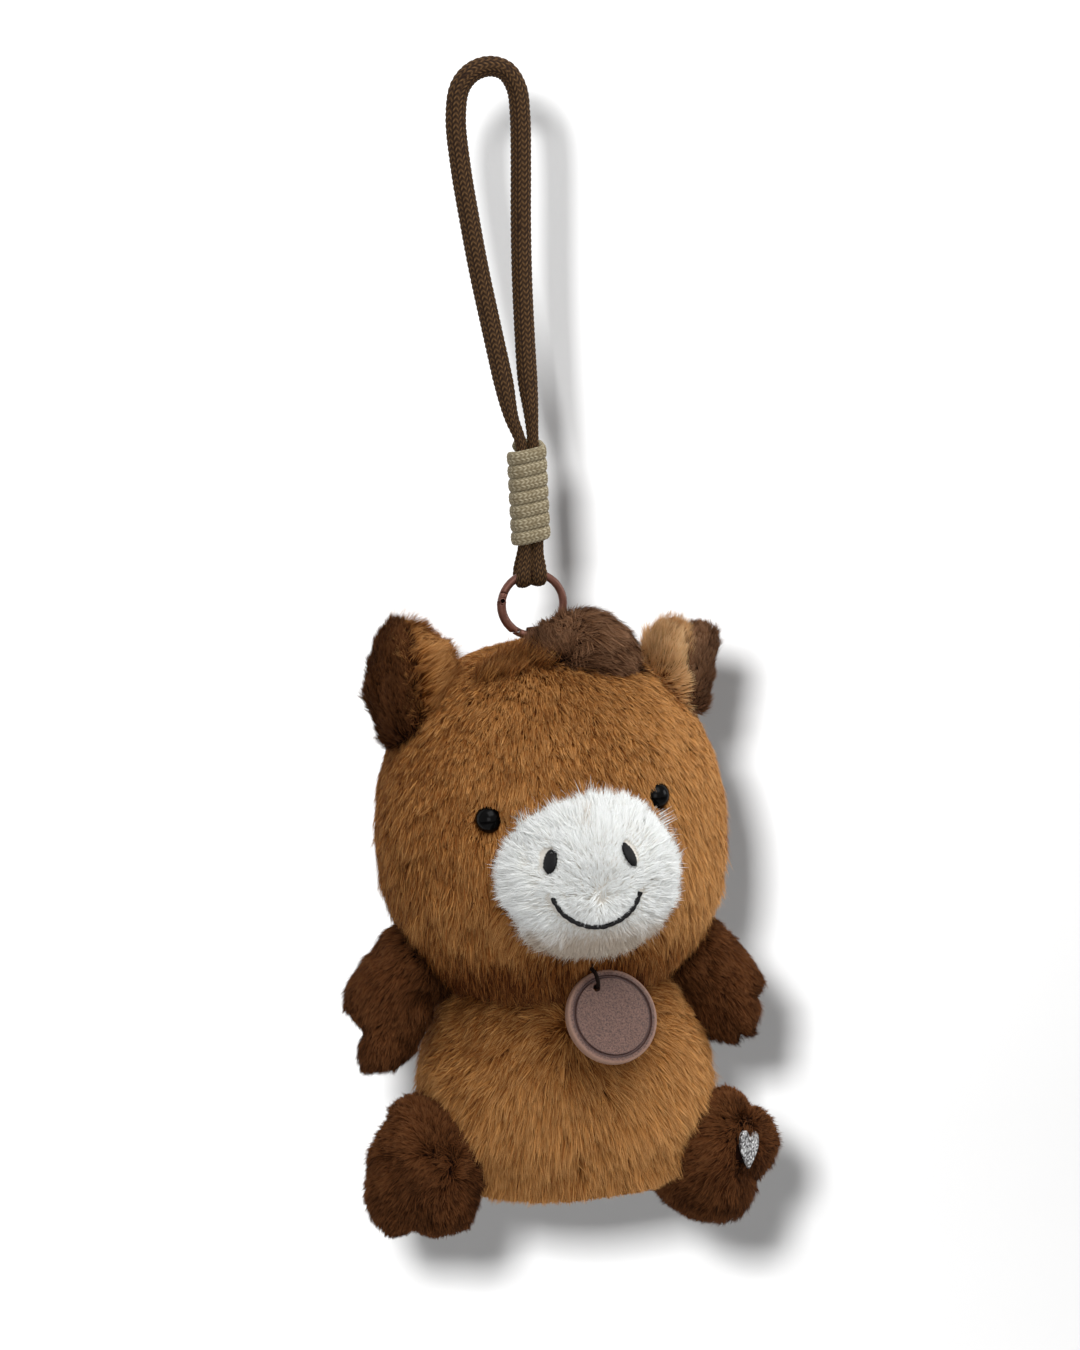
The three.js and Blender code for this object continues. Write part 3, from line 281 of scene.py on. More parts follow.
class Shading:
    """The nodes of a material, a world or a shared group, with short ways to add the kinds used here."""

    def __init__(self, tree):
        self.nodes, self.links = tree.nodes, tree.links

    def add(self, kind, **values):
        return tuned(self.nodes.new("ShaderNode" + kind), **values)

    def feed(self, socket, value):
        if isinstance(value, bpy.types.NodeSocket):
            self.links.new(value, socket)
        else:
            socket.default_value = value

    def filled(self, node, **values):
        """Feeds a node's inputs, named with underscores for spaces, and gives its first output."""
        for name, value in values.items():
            self.feed(node.inputs[name.replace("_", " ")], value)
        return node.outputs[0]

    def mix(self, factor, first, second):
        node = self.add("Mix", data_type="RGBA")
        self.filled(node, Factor=factor, A=first, B=second)
        return node.outputs["Result"]

    def maths(self, operation, first, second=0.0):
        node = self.add("Math", operation=operation)
        self.feed(node.inputs[0], first)
        self.feed(node.inputs[1], second)
        return node.outputs[0]

    def ramp(self, value, low=0.0, high=1.0, to_low=0.0, to_high=1.0, kind="LINEAR"):
        node = self.add("MapRange", interpolation_type=kind)
        return self.filled(node, Value=value, From_Min=low, From_Max=high, To_Min=to_low, To_Max=to_high)

    def place(self):
        return self.add("TexCoord").outputs["Object"]

    def noise(self, where, scale, detail=2.0, rough=0.5):
        return self.filled(self.add("TexNoise"), Vector=where, Scale=scale, Detail=detail, Roughness=rough)

    def bump(self, height, strength, distance):
        return self.filled(self.add("Bump"), Height=height, Strength=strength, Distance=distance)


class Paint(Shading):
    """A new material and its Principled shader."""

    def __init__(self, name):
        self.material = bpy.data.materials.new(name)
        self.material.use_nodes = True
        super().__init__(self.material.node_tree)
        self.shader = self.nodes["Principled BSDF"]

    def finish(self, colour, rough, shine=0.5, normal=None, metallic=0.0):
        self.filled(self.shader, Base_Color=colour, Roughness=rough, Specular_IOR_Level=shine, Metallic=metallic)
        if normal is not None:
            self.feed(self.shader.inputs["Normal"], normal)
        return self.material


def srgb(red, green, blue):
    """A colour as a picture's 0 to 255 values, made linear."""
    return tuple((v / 255) ** 2.2 for v in (red, green, blue)) + (1.0,)


def group(name, inputs, outputs):
    """A shared node group, with its nodes, what it is given and what it puts out."""
    tree = bpy.data.node_groups.new(name, "ShaderNodeTree")
    for label, kind in inputs:
        tree.interface.new_socket(name=label, in_out="INPUT", socket_type="NodeSocket" + kind)
    for label, kind in outputs:
        tree.interface.new_socket(name=label, in_out="OUTPUT", socket_type="NodeSocket" + kind)
    given, made = (tree.nodes.new(f"NodeGroup{end}") for end in ("Input", "Output"))
    return tree, Shading(tree), given.outputs, made.inputs


def pile_tone_group():
    """Colour of one strand: its shade picks between a dark and a light yarn; its root is darkened with painted shade
    from the strands over it and its tip paled with a painted highlight, stronger on lighter strands, and shades of
    0.02 and below take the root's painted shade all along.
    """
    inputs = [("Shade", "Float"), ("Along", "Float")]
    inputs += [(label, "Color") for label in ("Root", "Dark yarn", "Light yarn", "Tip")]
    tree, nodes, given, made = group("pile_tone", inputs, [("Color", "Color")])
    yarn = nodes.mix(given["Shade"], given["Dark yarn"], given["Light yarn"])
    # lit falls to 0 for the darkest shades, whose whole strand then takes the root's painted shade
    lit = nodes.ramp(given["Shade"], 0.02, 0.06)
    risen = nodes.maths("MULTIPLY", nodes.ramp(given["Along"], 0.0, 0.65, kind="SMOOTHSTEP"), lit)
    body = nodes.mix(risen, given["Root"], yarn)
    # pale is the tip's painted highlight
    pale = nodes.maths("MULTIPLY", nodes.maths("POWER", given["Along"], 2.5), given["Shade"])
    nodes.feed(made["Color"], nodes.mix(pale, body, given["Tip"]))
    return tree


def pile_material(name, root, dark, light, tip, rough=0.75, shine=0.1):
    paint = Paint(name)
    parts = paint.add("SeparateXYZ")
    paint.feed(parts.inputs[0], paint.add("UVMap", uv_map=PILE_MAP).outputs["UV"])
    tone = paint.add("Group", node_tree=PILE_TONE)
    # The root colour is painted shade and the tip colour a painted highlight.
    colour = paint.filled(tone, Shade=parts.outputs["X"], Along=parts.outputs["Y"], Root=srgb(*root),
                          Dark_yarn=srgb(*dark), Light_yarn=srgb(*light), Tip=srgb(*tip))
    return paint.finish(colour, rough, shine)


def knap_group():
    """The backing cloth between the strands: short dense tufts, with painted shade in the gaps between them."""
    inputs = [("Vector", "Vector"), ("Scale", "Float"), ("Gap", "Color"), ("Tuft", "Color")]
    tree, nodes, given, made = group("knap", inputs, [("Color", "Color"), ("Height", "Float")])
    away = nodes.filled(nodes.add("TexVoronoi"), Vector=given["Vector"], Scale=given["Scale"])
    height = nodes.maths("SUBTRACT", 1.0, away)
    share = nodes.maths("MULTIPLY", height, nodes.noise(given["Vector"], 160))
    nodes.feed(made["Color"], nodes.mix(share, given["Gap"], given["Tuft"]))
    nodes.feed(made["Height"], height)
    return tree


def cloth_material(name, shaded_gap, tuft):
    paint = Paint(name)
    knap = paint.add("Group", node_tree=KNAP)
    # shaded_gap is the painted shade between the tufts
    colour = paint.filled(knap, Vector=paint.place(), Scale=900.0, Gap=srgb(*shaded_gap), Tuft=srgb(*tuft))
    return paint.finish(colour, 0.95, 0.1, paint.bump(knap.outputs["Height"], 0.6, 0.0004))


def braid_material(name, valley, ridge, crest_highlight, crest_highlight_share):
    """Yarn of a braided cord, from the height of its plaits and each plait's own tint: painted shade in the valleys
    between plaits, painted light on their ridges, and a painted highlight on the crests of the plaits that the tint
    picks.
    """
    paint = Paint(name)
    plait = (paint.add("Attribute", attribute_name=f"plait_{kind}") for kind in ("height", "tint"))
    height, tint = (node.outputs["Fac"] for node in plait)
    fibre = paint.noise(paint.place(), 2600, 3)
    # the valley colour is painted shade in the hollows, the ridge colour painted light on the crests
    base = paint.mix(height, srgb(*valley), srgb(*ridge))
    spun = paint.mix(paint.maths("MULTIPLY", fibre, 0.45), base, srgb(*valley))
    # a painted highlight on the crest of the plaits that the tint picks
    crest_highlighted = paint.ramp(tint, 1 - crest_highlight_share, 1 - crest_highlight_share + 0.08)
    crest_highlights = paint.maths("MULTIPLY", crest_highlighted, paint.maths("POWER", height, 3.0))
    return paint.finish(paint.mix(crest_highlights, spun, srgb(*crest_highlight)), 0.8, 0.2, paint.bump(fibre, 0.35, 0.0002))


def speckle_material(name, low, high, metallic, rough, scale, bump_depth, shine=0.5, spread=0.12, over=None):
    """A flecked or worn surface: leather, metal, plastic. over(paint, colour) lays more over its colour."""
    paint = Paint(name)
    speck = paint.noise(paint.place(), scale, 5, 0.7)
    colour = paint.mix(paint.ramp(speck, 0.5 - spread, 0.5 + spread), srgb(*low), srgb(*high))
    if over:
        colour = over(paint, colour)
    polish = paint.ramp(speck, to_low=rough - 0.06, to_high=rough + 0.06)
    return paint.finish(colour, polish, shine, paint.bump(speck, 0.5, bump_depth), metallic)


def groove_and_rim(paint, face):
    """Painted shade in the tag's pressed groove, darker than its face, and a painted highlight on its rounded rim."""
    place = paint.add("Mapping", vector_type="TEXTURE")
    place.inputs["Location"].default_value = [v * MM for v in TAG_CENTRE]
    place.inputs["Rotation"].default_value = TAG_TURN.to_euler("XYZ")
    parts = paint.add("SeparateXYZ")
    paint.feed(parts.inputs[0], paint.filled(place, Vector=paint.place()))
    flat = paint.filled(paint.add("CombineXYZ"), X=parts.outputs["X"], Z=parts.outputs["Z"])
    length = paint.add("VectorMath", operation="LENGTH")
    paint.feed(length.inputs[0], flat)
    from_middle = length.outputs["Value"]
    off_groove = paint.maths("ABSOLUTE", paint.maths("SUBTRACT", from_middle, 0.0111))
    # rim is the painted highlight on the rounded rim, dark the painted shade in the groove
    rim = paint.maths("MULTIPLY", paint.ramp(from_middle, 0.0121, 0.0128), 0.6)
    dark = paint.maths("MULTIPLY", paint.ramp(off_groove, 0.0008, 0.0003), 0.75)
    return paint.mix(dark, paint.mix(rim, face, srgb(178, 140, 120)), srgb(60, 40, 38))


def glitter_material(name):
    paint = Paint(name)
    # Glitter flakes with bumps of their own; each flake's brightness, dark grey to white, is a painted glint.
    flakes = paint.add("TexVoronoi")
    paint.filled(flakes, Vector=paint.place(), Scale=1900)
    parts = paint.add("SeparateColor")
    paint.filled(parts, Color=flakes.outputs["Color"])
    flake_glint = paint.maths("POWER", parts.outputs["Red"], 2.2)
    colour = paint.mix(flake_glint, srgb(66, 62, 62), srgb(255, 255, 255))
    return paint.finish(colour, 0.35, normal=paint.bump(parts.outputs["Green"], 1.0, 0.0004), metallic=0.6)


def glossy_material(name):
    paint = Paint(name)
    haze = paint.noise(paint.place(), 500, 4)
    colour = paint.mix(haze, srgb(5, 4, 4), srgb(14, 12, 11))
    return paint.finish(colour, paint.ramp(haze, to_low=0.12, to_high=0.24), 0.07)


def thread_material(name):
    paint = Paint(name)
    ply = paint.noise(paint.place(), 3500)
    return paint.finish(paint.mix(ply, srgb(3, 3, 4), srgb(24, 23, 25)), 0.6, 0.2, paint.bump(ply, 0.5, 0.0001))


PILE_TONE = pile_tone_group()
KNAP = knap_group()
# Each row's values: pile is root (painted shade), dark yarn, light yarn and tip (painted highlight); cloth is
# shaded gap (painted shade) and tuft; braid is valley (painted shade), ridge (painted light), crest highlight and
# the share of plaits that get it; speckle is low, high, metallic, roughness, scale and bump depth.
FINISH = {
    name: make(name, *values)
    for make, name, *values in (
        (pile_material, "caramel_pile", (72, 36, 11), (112, 60, 20), (188, 124, 62), (228, 176, 116)),
        (pile_material, "dark_pile", (16, 6, 2), (28, 11, 3), (80, 43, 18), (146, 98, 64), 0.8, 0.05),
        (pile_material, "lock_pile", (24, 12, 6), (42, 23, 13), (118, 80, 54), (164, 126, 98), 0.8, 0.05),
        # The side-lit pile is the caramel pile painted paler, for the toy's left ear where the side light falls.
        (pile_material, "golden_pile", (118, 74, 34), (166, 114, 62), (224, 176, 116), (246, 214, 168)),
        (pile_material, "white_pile", (224, 214, 198), (188, 168, 146), (251, 254, 252), (254, 255, 255)),
        (cloth_material, "caramel_cloth", (84, 46, 17), (138, 84, 38)),
        (cloth_material, "dark_cloth", (20, 8, 2), (44, 20, 6)),
        (cloth_material, "white_cloth", (222, 216, 206), (246, 244, 240)),
        (braid_material, "brown_yarn", (22, 12, 5), (62, 41, 24), (128, 96, 62), 1.0),
        (braid_material, "pale_yarn", (98, 84, 60), (178, 165, 136), (205, 194, 166), 0.8),
        (speckle_material, "ring_metal", (94, 58, 46), (110, 70, 56), 0.4, 0.42, 350, 0.00003),
        (speckle_material, "steel", (150, 150, 152), (176, 176, 178), 1.0, 0.35, 500, 0.00002),
        (speckle_material, "leather", (58, 38, 32), (122, 89, 77), 0.0, 0.42, 2100, 0.0003, 0.4, 0.13,
         groove_and_rim),
        (speckle_material, "washer_plastic", (214, 214, 208), (232, 232, 228), 0.0, 0.5, 300, 0.00003),
        (speckle_material, "string_yarn", (12, 7, 5), (36, 23, 17), 0.0, 0.8, 2600, 0.00015, 0.1),
        # The rivet's hole is painted dark as its shade.
        (speckle_material, "pin_hole", (8, 5, 5), (20, 12, 11), 0.0, 0.9, 900, 0.0001, 0.05),
        (speckle_material, "tab_cloth", (50, 32, 22), (84, 56, 40), 0.0, 0.9, 1800, 0.0002, 0.1),
        (glossy_material, "eye_gloss"),
        (thread_material, "thread"),
        (glitter_material, "glitter"),
    )
}

camera = make_camera()
bpy.context.view_layer.update()
VIEW = np.array(camera.matrix_world.to_3x3()).T * np.array([[1], [1], [-1]])  # across, up and away from the camera
backdrop()
light_the_room()

# Cords


def cord_route(points, steps):
    """Points along a centripetal curve through the given ones, the same number between each two, in millimetres."""
    given = np.array(points, float)
    padded = np.vstack([2 * given[0] - given[1], given, 2 * given[-1] - given[-2]])
    found = []
    for i in range(1, len(padded) - 2):
        p0, p1, p2, p3 = padded[i - 1 : i + 3]
        d0, d1, d2 = (max(np.linalg.norm(b - a), 1e-4) ** 0.5 for a, b in ((p0, p1), (p1, p2), (p2, p3)))
        start = ((p1 - p0) / d0 - (p2 - p0) / (d0 + d1) + (p2 - p1) / d1) * d1
        end = ((p2 - p1) / d1 - (p3 - p1) / (d1 + d2) + (p3 - p2) / d2) * d1
        t = np.linspace(0, 1, steps, endpoint=False)[:, None]
        bend = (2 * t**3 - 3 * t**2 + 1) * p1 + (t**3 - 2 * t**2 + t) * start
        found.append(bend + (3 * t**2 - 2 * t**3) * p2 + (t**3 - t**2) * end)
    return np.vstack([*found, given[-1:]])


def evenly(route, step):
    """A route resampled about a step apart, and how far along it each of its points is."""
    along = np.concatenate([[0], np.cumsum(np.linalg.norm(np.diff(route, axis=0), axis=1))])
    count = int(math.ceil(along[-1] / step))
    at = np.linspace(0, along[-1], count + 1)
    return np.stack([np.interp(at, along, route[:, axis]) for axis in range(3)], axis=1), at


def smoothstep(value, low, high):
    t = np.clip((value - low) / (high - low), 0, 1)
    return t * t * (3 - 2 * t)


def headings(route):
    along = np.gradient(route, axis=0)
    return along / np.linalg.norm(along, axis=1)[:, None]


def carried_frames(route, first_side):
    """A side and an upward direction at each point of a route, carried along it without twist."""
    along = headings(route)
    side = np.zeros_like(route)
    current = np.array(first_side, float)
    for i, direction in enumerate(along):
        current = current - direction * (current @ direction)
        current /= np.linalg.norm(current)
        side[i] = current
    return side, np.cross(along, side)


def braided_tube(name, route, at, side, other, half_wide, half_thick, columns, pitch, depth, around, seed,
                 square=2.0):
    """A tube along a route whose skin is plaits in columns of slanting pairs, as on a braided cord."""
    rng = np.random.default_rng(seed)
    angle = np.linspace(0, 2 * math.pi, around, endpoint=False)
    column = columns * angle / (2 * math.pi)
    leg = np.abs(2 * (column % 1) - 1)
    across = np.abs(np.sin(math.pi * (2 * column % 1))) ** 0.5
    phase = at[:, None] / pitch + 0.8 * leg[None, :] + 0.5 * (np.floor(column)[None, :] % 2)
    crest = 0.5 + 0.5 * np.cos(2 * math.pi * phase)
    height = (0.25 + 0.75 * crest) * (0.35 + 0.65 * across[None, :])
    plait = (np.floor(phase + 0.5).astype(int) * 131 + (2 * column).astype(int)[None, :] * 17) % 997
    tint = rng.random(997)[plait]
    cos, sin = np.cos(angle), np.sin(angle)
    round_off = (np.abs(cos) ** square + np.abs(sin) ** square) ** (-1 / square)
    wide = half_wide[:, None] * cos * round_off + (depth * (height - 0.5)) * cos
    thick = half_thick[:, None] * sin * round_off + (depth * (height - 0.5)) * sin
    points = route[:, None, :] + side[:, None, :] * wide[..., None] + other[:, None, :] * thick[..., None]
    rings = len(route)
    index = np.arange(rings * around).reshape(rings, around)
    a, b = index[:-1], np.roll(index, -1, axis=1)[:-1]
    c, d = np.roll(index, -1, axis=1)[1:], index[1:]
    faces = np.stack([a, b, c, d], axis=-1).reshape(-1, 4).tolist()
    tube = mesh_piece(name, points.reshape(-1, 3) * MM, faces + [index[0][::-1].tolist(), index[-1].tolist()])
    for label, values in (("plait_height", height), ("plait_tint", tint)):
        layer = tube.data.attributes.new(label, "FLOAT", "POINT")
        layer.data.foreach_set("value", np.ascontiguousarray(values, np.float32).ravel())
    edit_all(tube, bpy.ops.mesh.normals_make_consistent, inside=False)
    return tube


def finish_cord(cord, finish, node):
    finish_piece(cord, finish, "strap", node)


def bundle_x(z):
    """How far to the side the bundle of four strands is at a height, because it leans."""
    return 1 + 0.8 * (z - BUNDLE_LOW) / (BUNDLE_HIGH - BUNDLE_LOW)


def wrist_cord():
    """One cord from inside the whipping, round the ring, up and over as the loop, and round the ring again."""
    strand, spread = STRAND_APART / 2, 2.3
    turn = RING_WIRE + 0.3 + 0.9 + 0.25  # from the wire's middle to the cord's
    wire_top = RING_Z + math.sqrt(RING_LINE**2 - spread**2)
    tilt = radians(8)

    def bound(side, y, rise):
        return [bundle_x(WHIPPING_LOW + rise) + side * strand, y, WHIPPING_LOW + rise]

    def round_wire(side, degrees):
        drop = turn * math.sin(radians(degrees))
        x = side * (spread - drop * math.sin(tilt))
        return [x, turn * math.cos(radians(degrees)), wire_top - drop * math.cos(tilt)]

    def bight(side):
        return [
            bound(side, strand, 21.1),
            bound(side, strand, 10.1),
            bound(side, strand, 0.1),
            [side * strand + 0.4, 0.9 * turn, WHIPPING_LOW - 4.9],
            *[round_wire(side, degrees) for degrees in (0, 45, 90, 135, 180)],
            [side * strand + 0.4, -0.9 * turn, WHIPPING_LOW - 4.9],
            bound(side, -strand, 0.1),
            bound(side, -strand, 10.1),
            bound(side, -strand, 20.1),
            bound(side, -strand, 27.1),
        ]

    loop = [
        (-2, -1.3, 1), (-3.3, -0.5, 0.891), (-5.2, 0, 0.739), (-7.4, 0, 0.565), (-8.9, 0, 0.413),
        (-10.2, 0, 0.25), (-10.4, 0, 0.109), (-8.6, 0, 0.024), (-4.9, 0, -0.017), (0, 0, 2.7 / LOOP_LOW),
        (4.2, 0, -0.012), (6.8, 0, 0.039), (7.2, 0, 0.12), (6.4, 0, 0.261), (5.2, 0, 0.424), (4.3, 0, 0.587),
        (3.8, 0, 0.75), (3.5, -0.5, 0.891), (3.6, -1.3, 1),
    ]  # fmt: skip
    points = [*bight(-1), *[[x, y, share * LOOP_LOW] for x, y, share in loop], *bight(1)[::-1]]
    route, at = evenly(cord_route(points, 24), 0.36)
    side, other = carried_frames(route, (1, 0, 0))
    free = smoothstep(route[:, 2], BUNDLE_HIGH, LOOP_LOW + 12)
    squashed = 1 - smoothstep(route[:, 2], WHIPPING_LOW - 6.9, BUNDLE_LOW)
    round_radius = BOUND_RADIUS + 1.2 * free
    wide = round_radius * (1 - squashed) + 2.0 * squashed
    thick = round_radius * (1 - squashed) + 0.9 * squashed
    cord = braided_tube("wrist_cord", route, at, side, other, wide, thick, 9, 1.5, 0.34, 60, 3)
    finish_cord(cord, "brown_yarn", "strap_cord")


def whipping_cord():
    """Seven turns round the four strands, along a rounded square."""
    reach = STRAND_APART / 2 + BOUND_RADIUS + 0.3 + 0.9
    power, whole_turns, pitch = 3.6, 7, 3.72
    turns = np.linspace(0, whole_turns, whole_turns * 120 + 1)
    angle = 2 * math.pi * turns + math.pi / 2
    square = np.abs(np.cos(angle)) ** power + np.abs(np.sin(angle)) ** power
    radius = reach / square ** (1 / power)
    z = WHIPPING_LOW + pitch * turns
    middle = np.array([bundle_x(h) for h in z])
    line = np.stack([middle + radius * np.cos(angle), radius * np.sin(angle), z], axis=1)
    start, end = line[0] - line[1], line[-1] - line[-2]
    start[2] = end[2] = 0
    start, end = (step * 3.2 / np.linalg.norm(step) for step in (start, end))
    line = np.vstack([line[0] + start, line, line[-1] + end])
    route, at = evenly(line, 0.24)
    along = headings(route)
    out = np.cross(along, UP)
    out /= np.linalg.norm(out, axis=1)[:, None]
    down = np.cross(along, out)
    ends = np.minimum(smoothstep(at, 0, 1.2), smoothstep(at[-1] - at, 0, 1.2)) ** 0.5
    tall = 1.72 * ends + 0.1
    deep = 0.9 * ends + 0.05
    cord = braided_tube("whipping_cord", route, at, out, down, deep, tall, 7, 1.15, 0.26, 40, 5, square=2.4)
    finish_cord(cord, "pale_yarn", "whipping")


wrist_cord()
whipping_cord()

# Soft forms


def stuffed(name, nodes, voxel, cloth, smooth=4, pressure=True):
    """A sewn and stuffed form: the CAD skin and stuffing remeshed as one, smoothed and swelled by air pressure."""
    form = joined(name, [copy_of(node, f"{name}_{i}") for i, node in enumerate(nodes)])
    remesh = form.modifiers.new("remesh", "REMESH")
    tuned(remesh, mode="VOXEL", voxel_size=voxel * MM, use_smooth_shade=True)
    tuned(form.modifiers.new("rounding", "SMOOTH"), factor=0.6, iterations=smooth)
    apply_modifiers(form)
    keep_largest(form)
    if pressure:
        swell(form, 0.8)
    tuned(form.modifiers.new("finer", "SUBSURF"), levels=1, render_levels=1)
    apply_modifiers(form)
    shade_smooth(form.data)
    dress(form, FINISH[cloth])
    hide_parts(*nodes)
    return form


def in_view(points):
    """Places of points across and up in the camera's view, in millimetres, and their scale from their distance."""
    offset = points - np.array(camera.matrix_world.translation) / MM
    depth = offset @ VIEW[2]
    scale = VIEW_DISTANCE / depth
    return (offset @ VIEW[0]) * scale, (offset @ VIEW[1]) * scale, scale


def shaped(form, depth, cover, edge):
    """Moves a form's edge, as the camera sees it, to a pile's thickness inside the given edge."""
    points = points_of(form)
    across, up, scale = in_view(points)
    middle = ((across.min() + across.max()) / 2, (up.min() + up.max()) / 2)
    across, up = across - middle[0], up - middle[1]
    radius, angle = np.hypot(across, up), np.degrees(np.arctan2(up, across)) % 360
    rays = np.arange(0, 360, 4.0)
    reach = np.zeros(len(rays))
    for i, ray in enumerate(rays):
        near = np.abs((angle - ray + 180) % 360 - 180) < 4
        reach[i] = radius[near].max() if near.any() else 0
    reach = np.maximum(reach, 1.0)

    def own_reach(at):
        return np.interp(at, np.append(rays, 360), np.append(reach, reach[0]))

    goal_across, goal_up, _ = in_view(np.array([(x, depth, z) for x, z in edge], float))
    goal_across, goal_up = goal_across - middle[0], goal_up - middle[1]
    goal_angle = np.unwrap(np.arctan2(goal_up, goal_across))
    if goal_angle[-1] < goal_angle[0]:
        goal_angle, goal_across, goal_up = goal_angle[::-1], goal_across[::-1], goal_up[::-1]
    goal_angle = np.degrees(goal_angle)
    ratio = np.clip((np.hypot(goal_across, goal_up) - cover) / own_reach(goal_angle % 360), 0.7, 1.4)
    order = np.argsort(goal_angle)
    goal_angle, ratio = goal_angle[order], ratio[order]
    ends = np.concatenate([[goal_angle[0] - 30], goal_angle, [goal_angle[-1] + 30]])
    ratios = np.concatenate([[1], ratio, [1]])
    from_first = (angle - goal_angle[0] + 30) % 360 + goal_angle[0] - 30
    wanted = np.interp(from_first, ends, ratios, left=1, right=1)
    grow = (wanted - 1) * smoothstep(radius / own_reach(angle), 0.15, 0.9) / scale
    points += (across * grow)[:, None] * VIEW[0] + (up * grow)[:, None] * VIEW[1]
    move_points(form, points * MM)


def keep_largest(form):
    """Leaves only the largest closed shell, so that nothing floats inside."""
    work = bmesh.new()
    work.from_mesh(form.data)
    seen, shells = set(), []
    for vert in work.verts:
        if vert in seen:
            continue
        shell, queue = [], [vert]
        seen.add(vert)
        while queue:
            current = queue.pop()
            shell.append(current)
            for edge in current.link_edges:
                other = edge.other_vert(current)
                if other not in seen:
                    seen.add(other)
                    queue.append(other)
        shells.append(shell)
    shells.sort(key=len)
    bmesh.ops.delete(work, geom=[v for shell in shells[:-1] for v in shell], context="VERTS")
    work.to_mesh(form.data)
    work.free()


def swell(form, cap):
    """Air pressure on the cloth for 20 frames, with no point moved further than the cap."""
    rest = stored_points(form)
    pick(form)
    cloth = form.modifiers.new("air", "CLOTH")
    tuned(cloth.settings, quality=4, use_pressure=True, uniform_pressure_force=4)
    cloth.settings.effector_weights.gravity = 0
    cloth.collision_settings.use_collision = False
    scene = bpy.context.scene
    for number in range(1, 21):
        scene.frame_set(number)
    bpy.ops.object.modifier_apply(modifier=cloth.name)
    scene.frame_set(1)
    shift = stored_points(form) - rest
    reach = np.linalg.norm(shift, axis=1)[:, None]
    shift *= np.minimum(1, cap * MM / np.maximum(reach, 1e-9))
    move_points(form, rest + shift)


FORMS = {
    "head": stuffed("head_cloth", ["head_skin", "head_fill"], 2.4, "caramel_cloth"),
    "muzzle": stuffed("muzzle_cloth", ["muzzle_skin", "muzzle_fill"], 1.6, "white_cloth"),
    "body": stuffed("body_cloth", ["body_skin", "body_fill"], 2.4, "caramel_cloth"),
    "forelock": stuffed("forelock_cloth", ["forelock"], 1.3, "dark_cloth", smooth=6, pressure=False),
    "mane": stuffed("mane_cloth", ["mane"], 1.3, "dark_cloth", smooth=3, pressure=False),
    "tail": stuffed("tail_cloth", ["tail"], 1.0, "dark_cloth", smooth=3, pressure=False),
}
for hand in ("left", "right"):
    for limb, voxel in (("arm", 1.7), ("leg", 1.8)):
        nodes = [f"{limb}_{hand}_skin", f"{limb}_{hand}_fill"]
        FORMS[f"{limb}_{hand}"] = stuffed(f"{limb}_{hand}_cloth", nodes, voxel, "dark_cloth")
    for half, cloth in (("back", "caramel_cloth"), ("lining", "dark_cloth")):
        label = f"ear_{hand}_{half}"
        FORMS[label] = stuffed(f"{label}_cloth", [label], 1.2, cloth, pressure=False)

# Edges as the camera sees them, as (x, z) at the given depth y; between its ends each form keeps its own edge.
EDGES = {
    "leg_right": (-14, 2.0, [
        (-43.7, -278.7), (-48.1, -277.0), (-52.6, -279.2), (-53.9, -283.4), (-58.6, -288.8), (-62.9, -299.4),
        (-63.4, -307.6), (-61.2, -315.0), (-57.3, -319.0), (-50.8, -318.0), (-43.6, -321.1), (-34.9, -319.3),
        (-32.3, -314.6), (-30.6, -310.3),
    ]),
    "leg_left": (-14, 2.0, [
        (35.9, -288.5), (44.0, -287.7), (48.1, -291.5), (49.1, -295.5), (52.2, -295.9), (56.1, -302.2),
        (57.2, -305.6), (55.5, -311.8), (49.5, -317.3), (47.2, -324.1), (43.8, -328.1), (39.4, -329.0),
        (28.9, -325.8), (23.0, -321.7), (18.8, -316.8),
    ]),
    "arm_right": (-6, 2.2, [
        (-47.9, -229.8), (-53.0, -235.5), (-59.1, -240.8), (-63.1, -247.3), (-64.1, -251.9), (-59.6, -259.6),
        (-58.7, -262.6), (-60.2, -269.0), (-59.6, -272.1), (-54.0, -272.9), (-49.3, -272.3), (-43.3, -267.4),
        (-38.5, -260.0), (-34.0, -253.0), (-31.0, -247.0),
    ]),
    "arm_left": (-6, 2.2, [
        (41.1, -237.9), (47.0, -243.1), (51.0, -247.5), (54.5, -252.4), (56.9, -257.6), (58.1, -260.6),
        (56.5, -264.2), (54.4, -265.1), (55.9, -269.7), (54.5, -274.0), (53.2, -277.4), (50.0, -275.0),
        (47.9, -278.6), (44.1, -278.4), (38.3, -274.8), (33.5, -268.5), (31.0, -262.0),
    ]),
    "body": (-30, 1.5, [(-31.1, -305.0), (-20.0, -307.6), (-7.1, -309.1), (4.0, -310.2), (14.5, -310.9)]),
    "ear_right_back": (0, 2.5, [(-24.3, -149.5), (-22.0, -158.0), (-20.8, -162.5)]),
    "ear_right_lining": (0, 2.0, [
        (-33.8, -147.7), (-41.0, -146.2), (-46.0, -152.3), (-49.2, -163.9), (-46.2, -179.3),
    ]),
    "ear_left_back": (0, 2.5, [(28.5, -166.9), (31.0, -160.0), (33.5, -157.0), (38.5, -155.8)]),
    "ear_left_lining": (0, 2.0, [
        (42.9, -156.2), (47.7, -154.7), (51.7, -156.6), (51.6, -165.0), (47.4, -173.6), (44.3, -179.3),
        (42.0, -183.0),
    ]),
    "forelock": (-8, 2.5, [
        (-5.0, -156.0), (-5.6, -151.5), (-1.1, -150.2), (3.5, -148.3), (6.8, -146.8), (14.0, -146.1),
        (21.1, -150.3), (26.2, -157.6), (27.0, -162.2),
    ]),
}  # fmt: skip
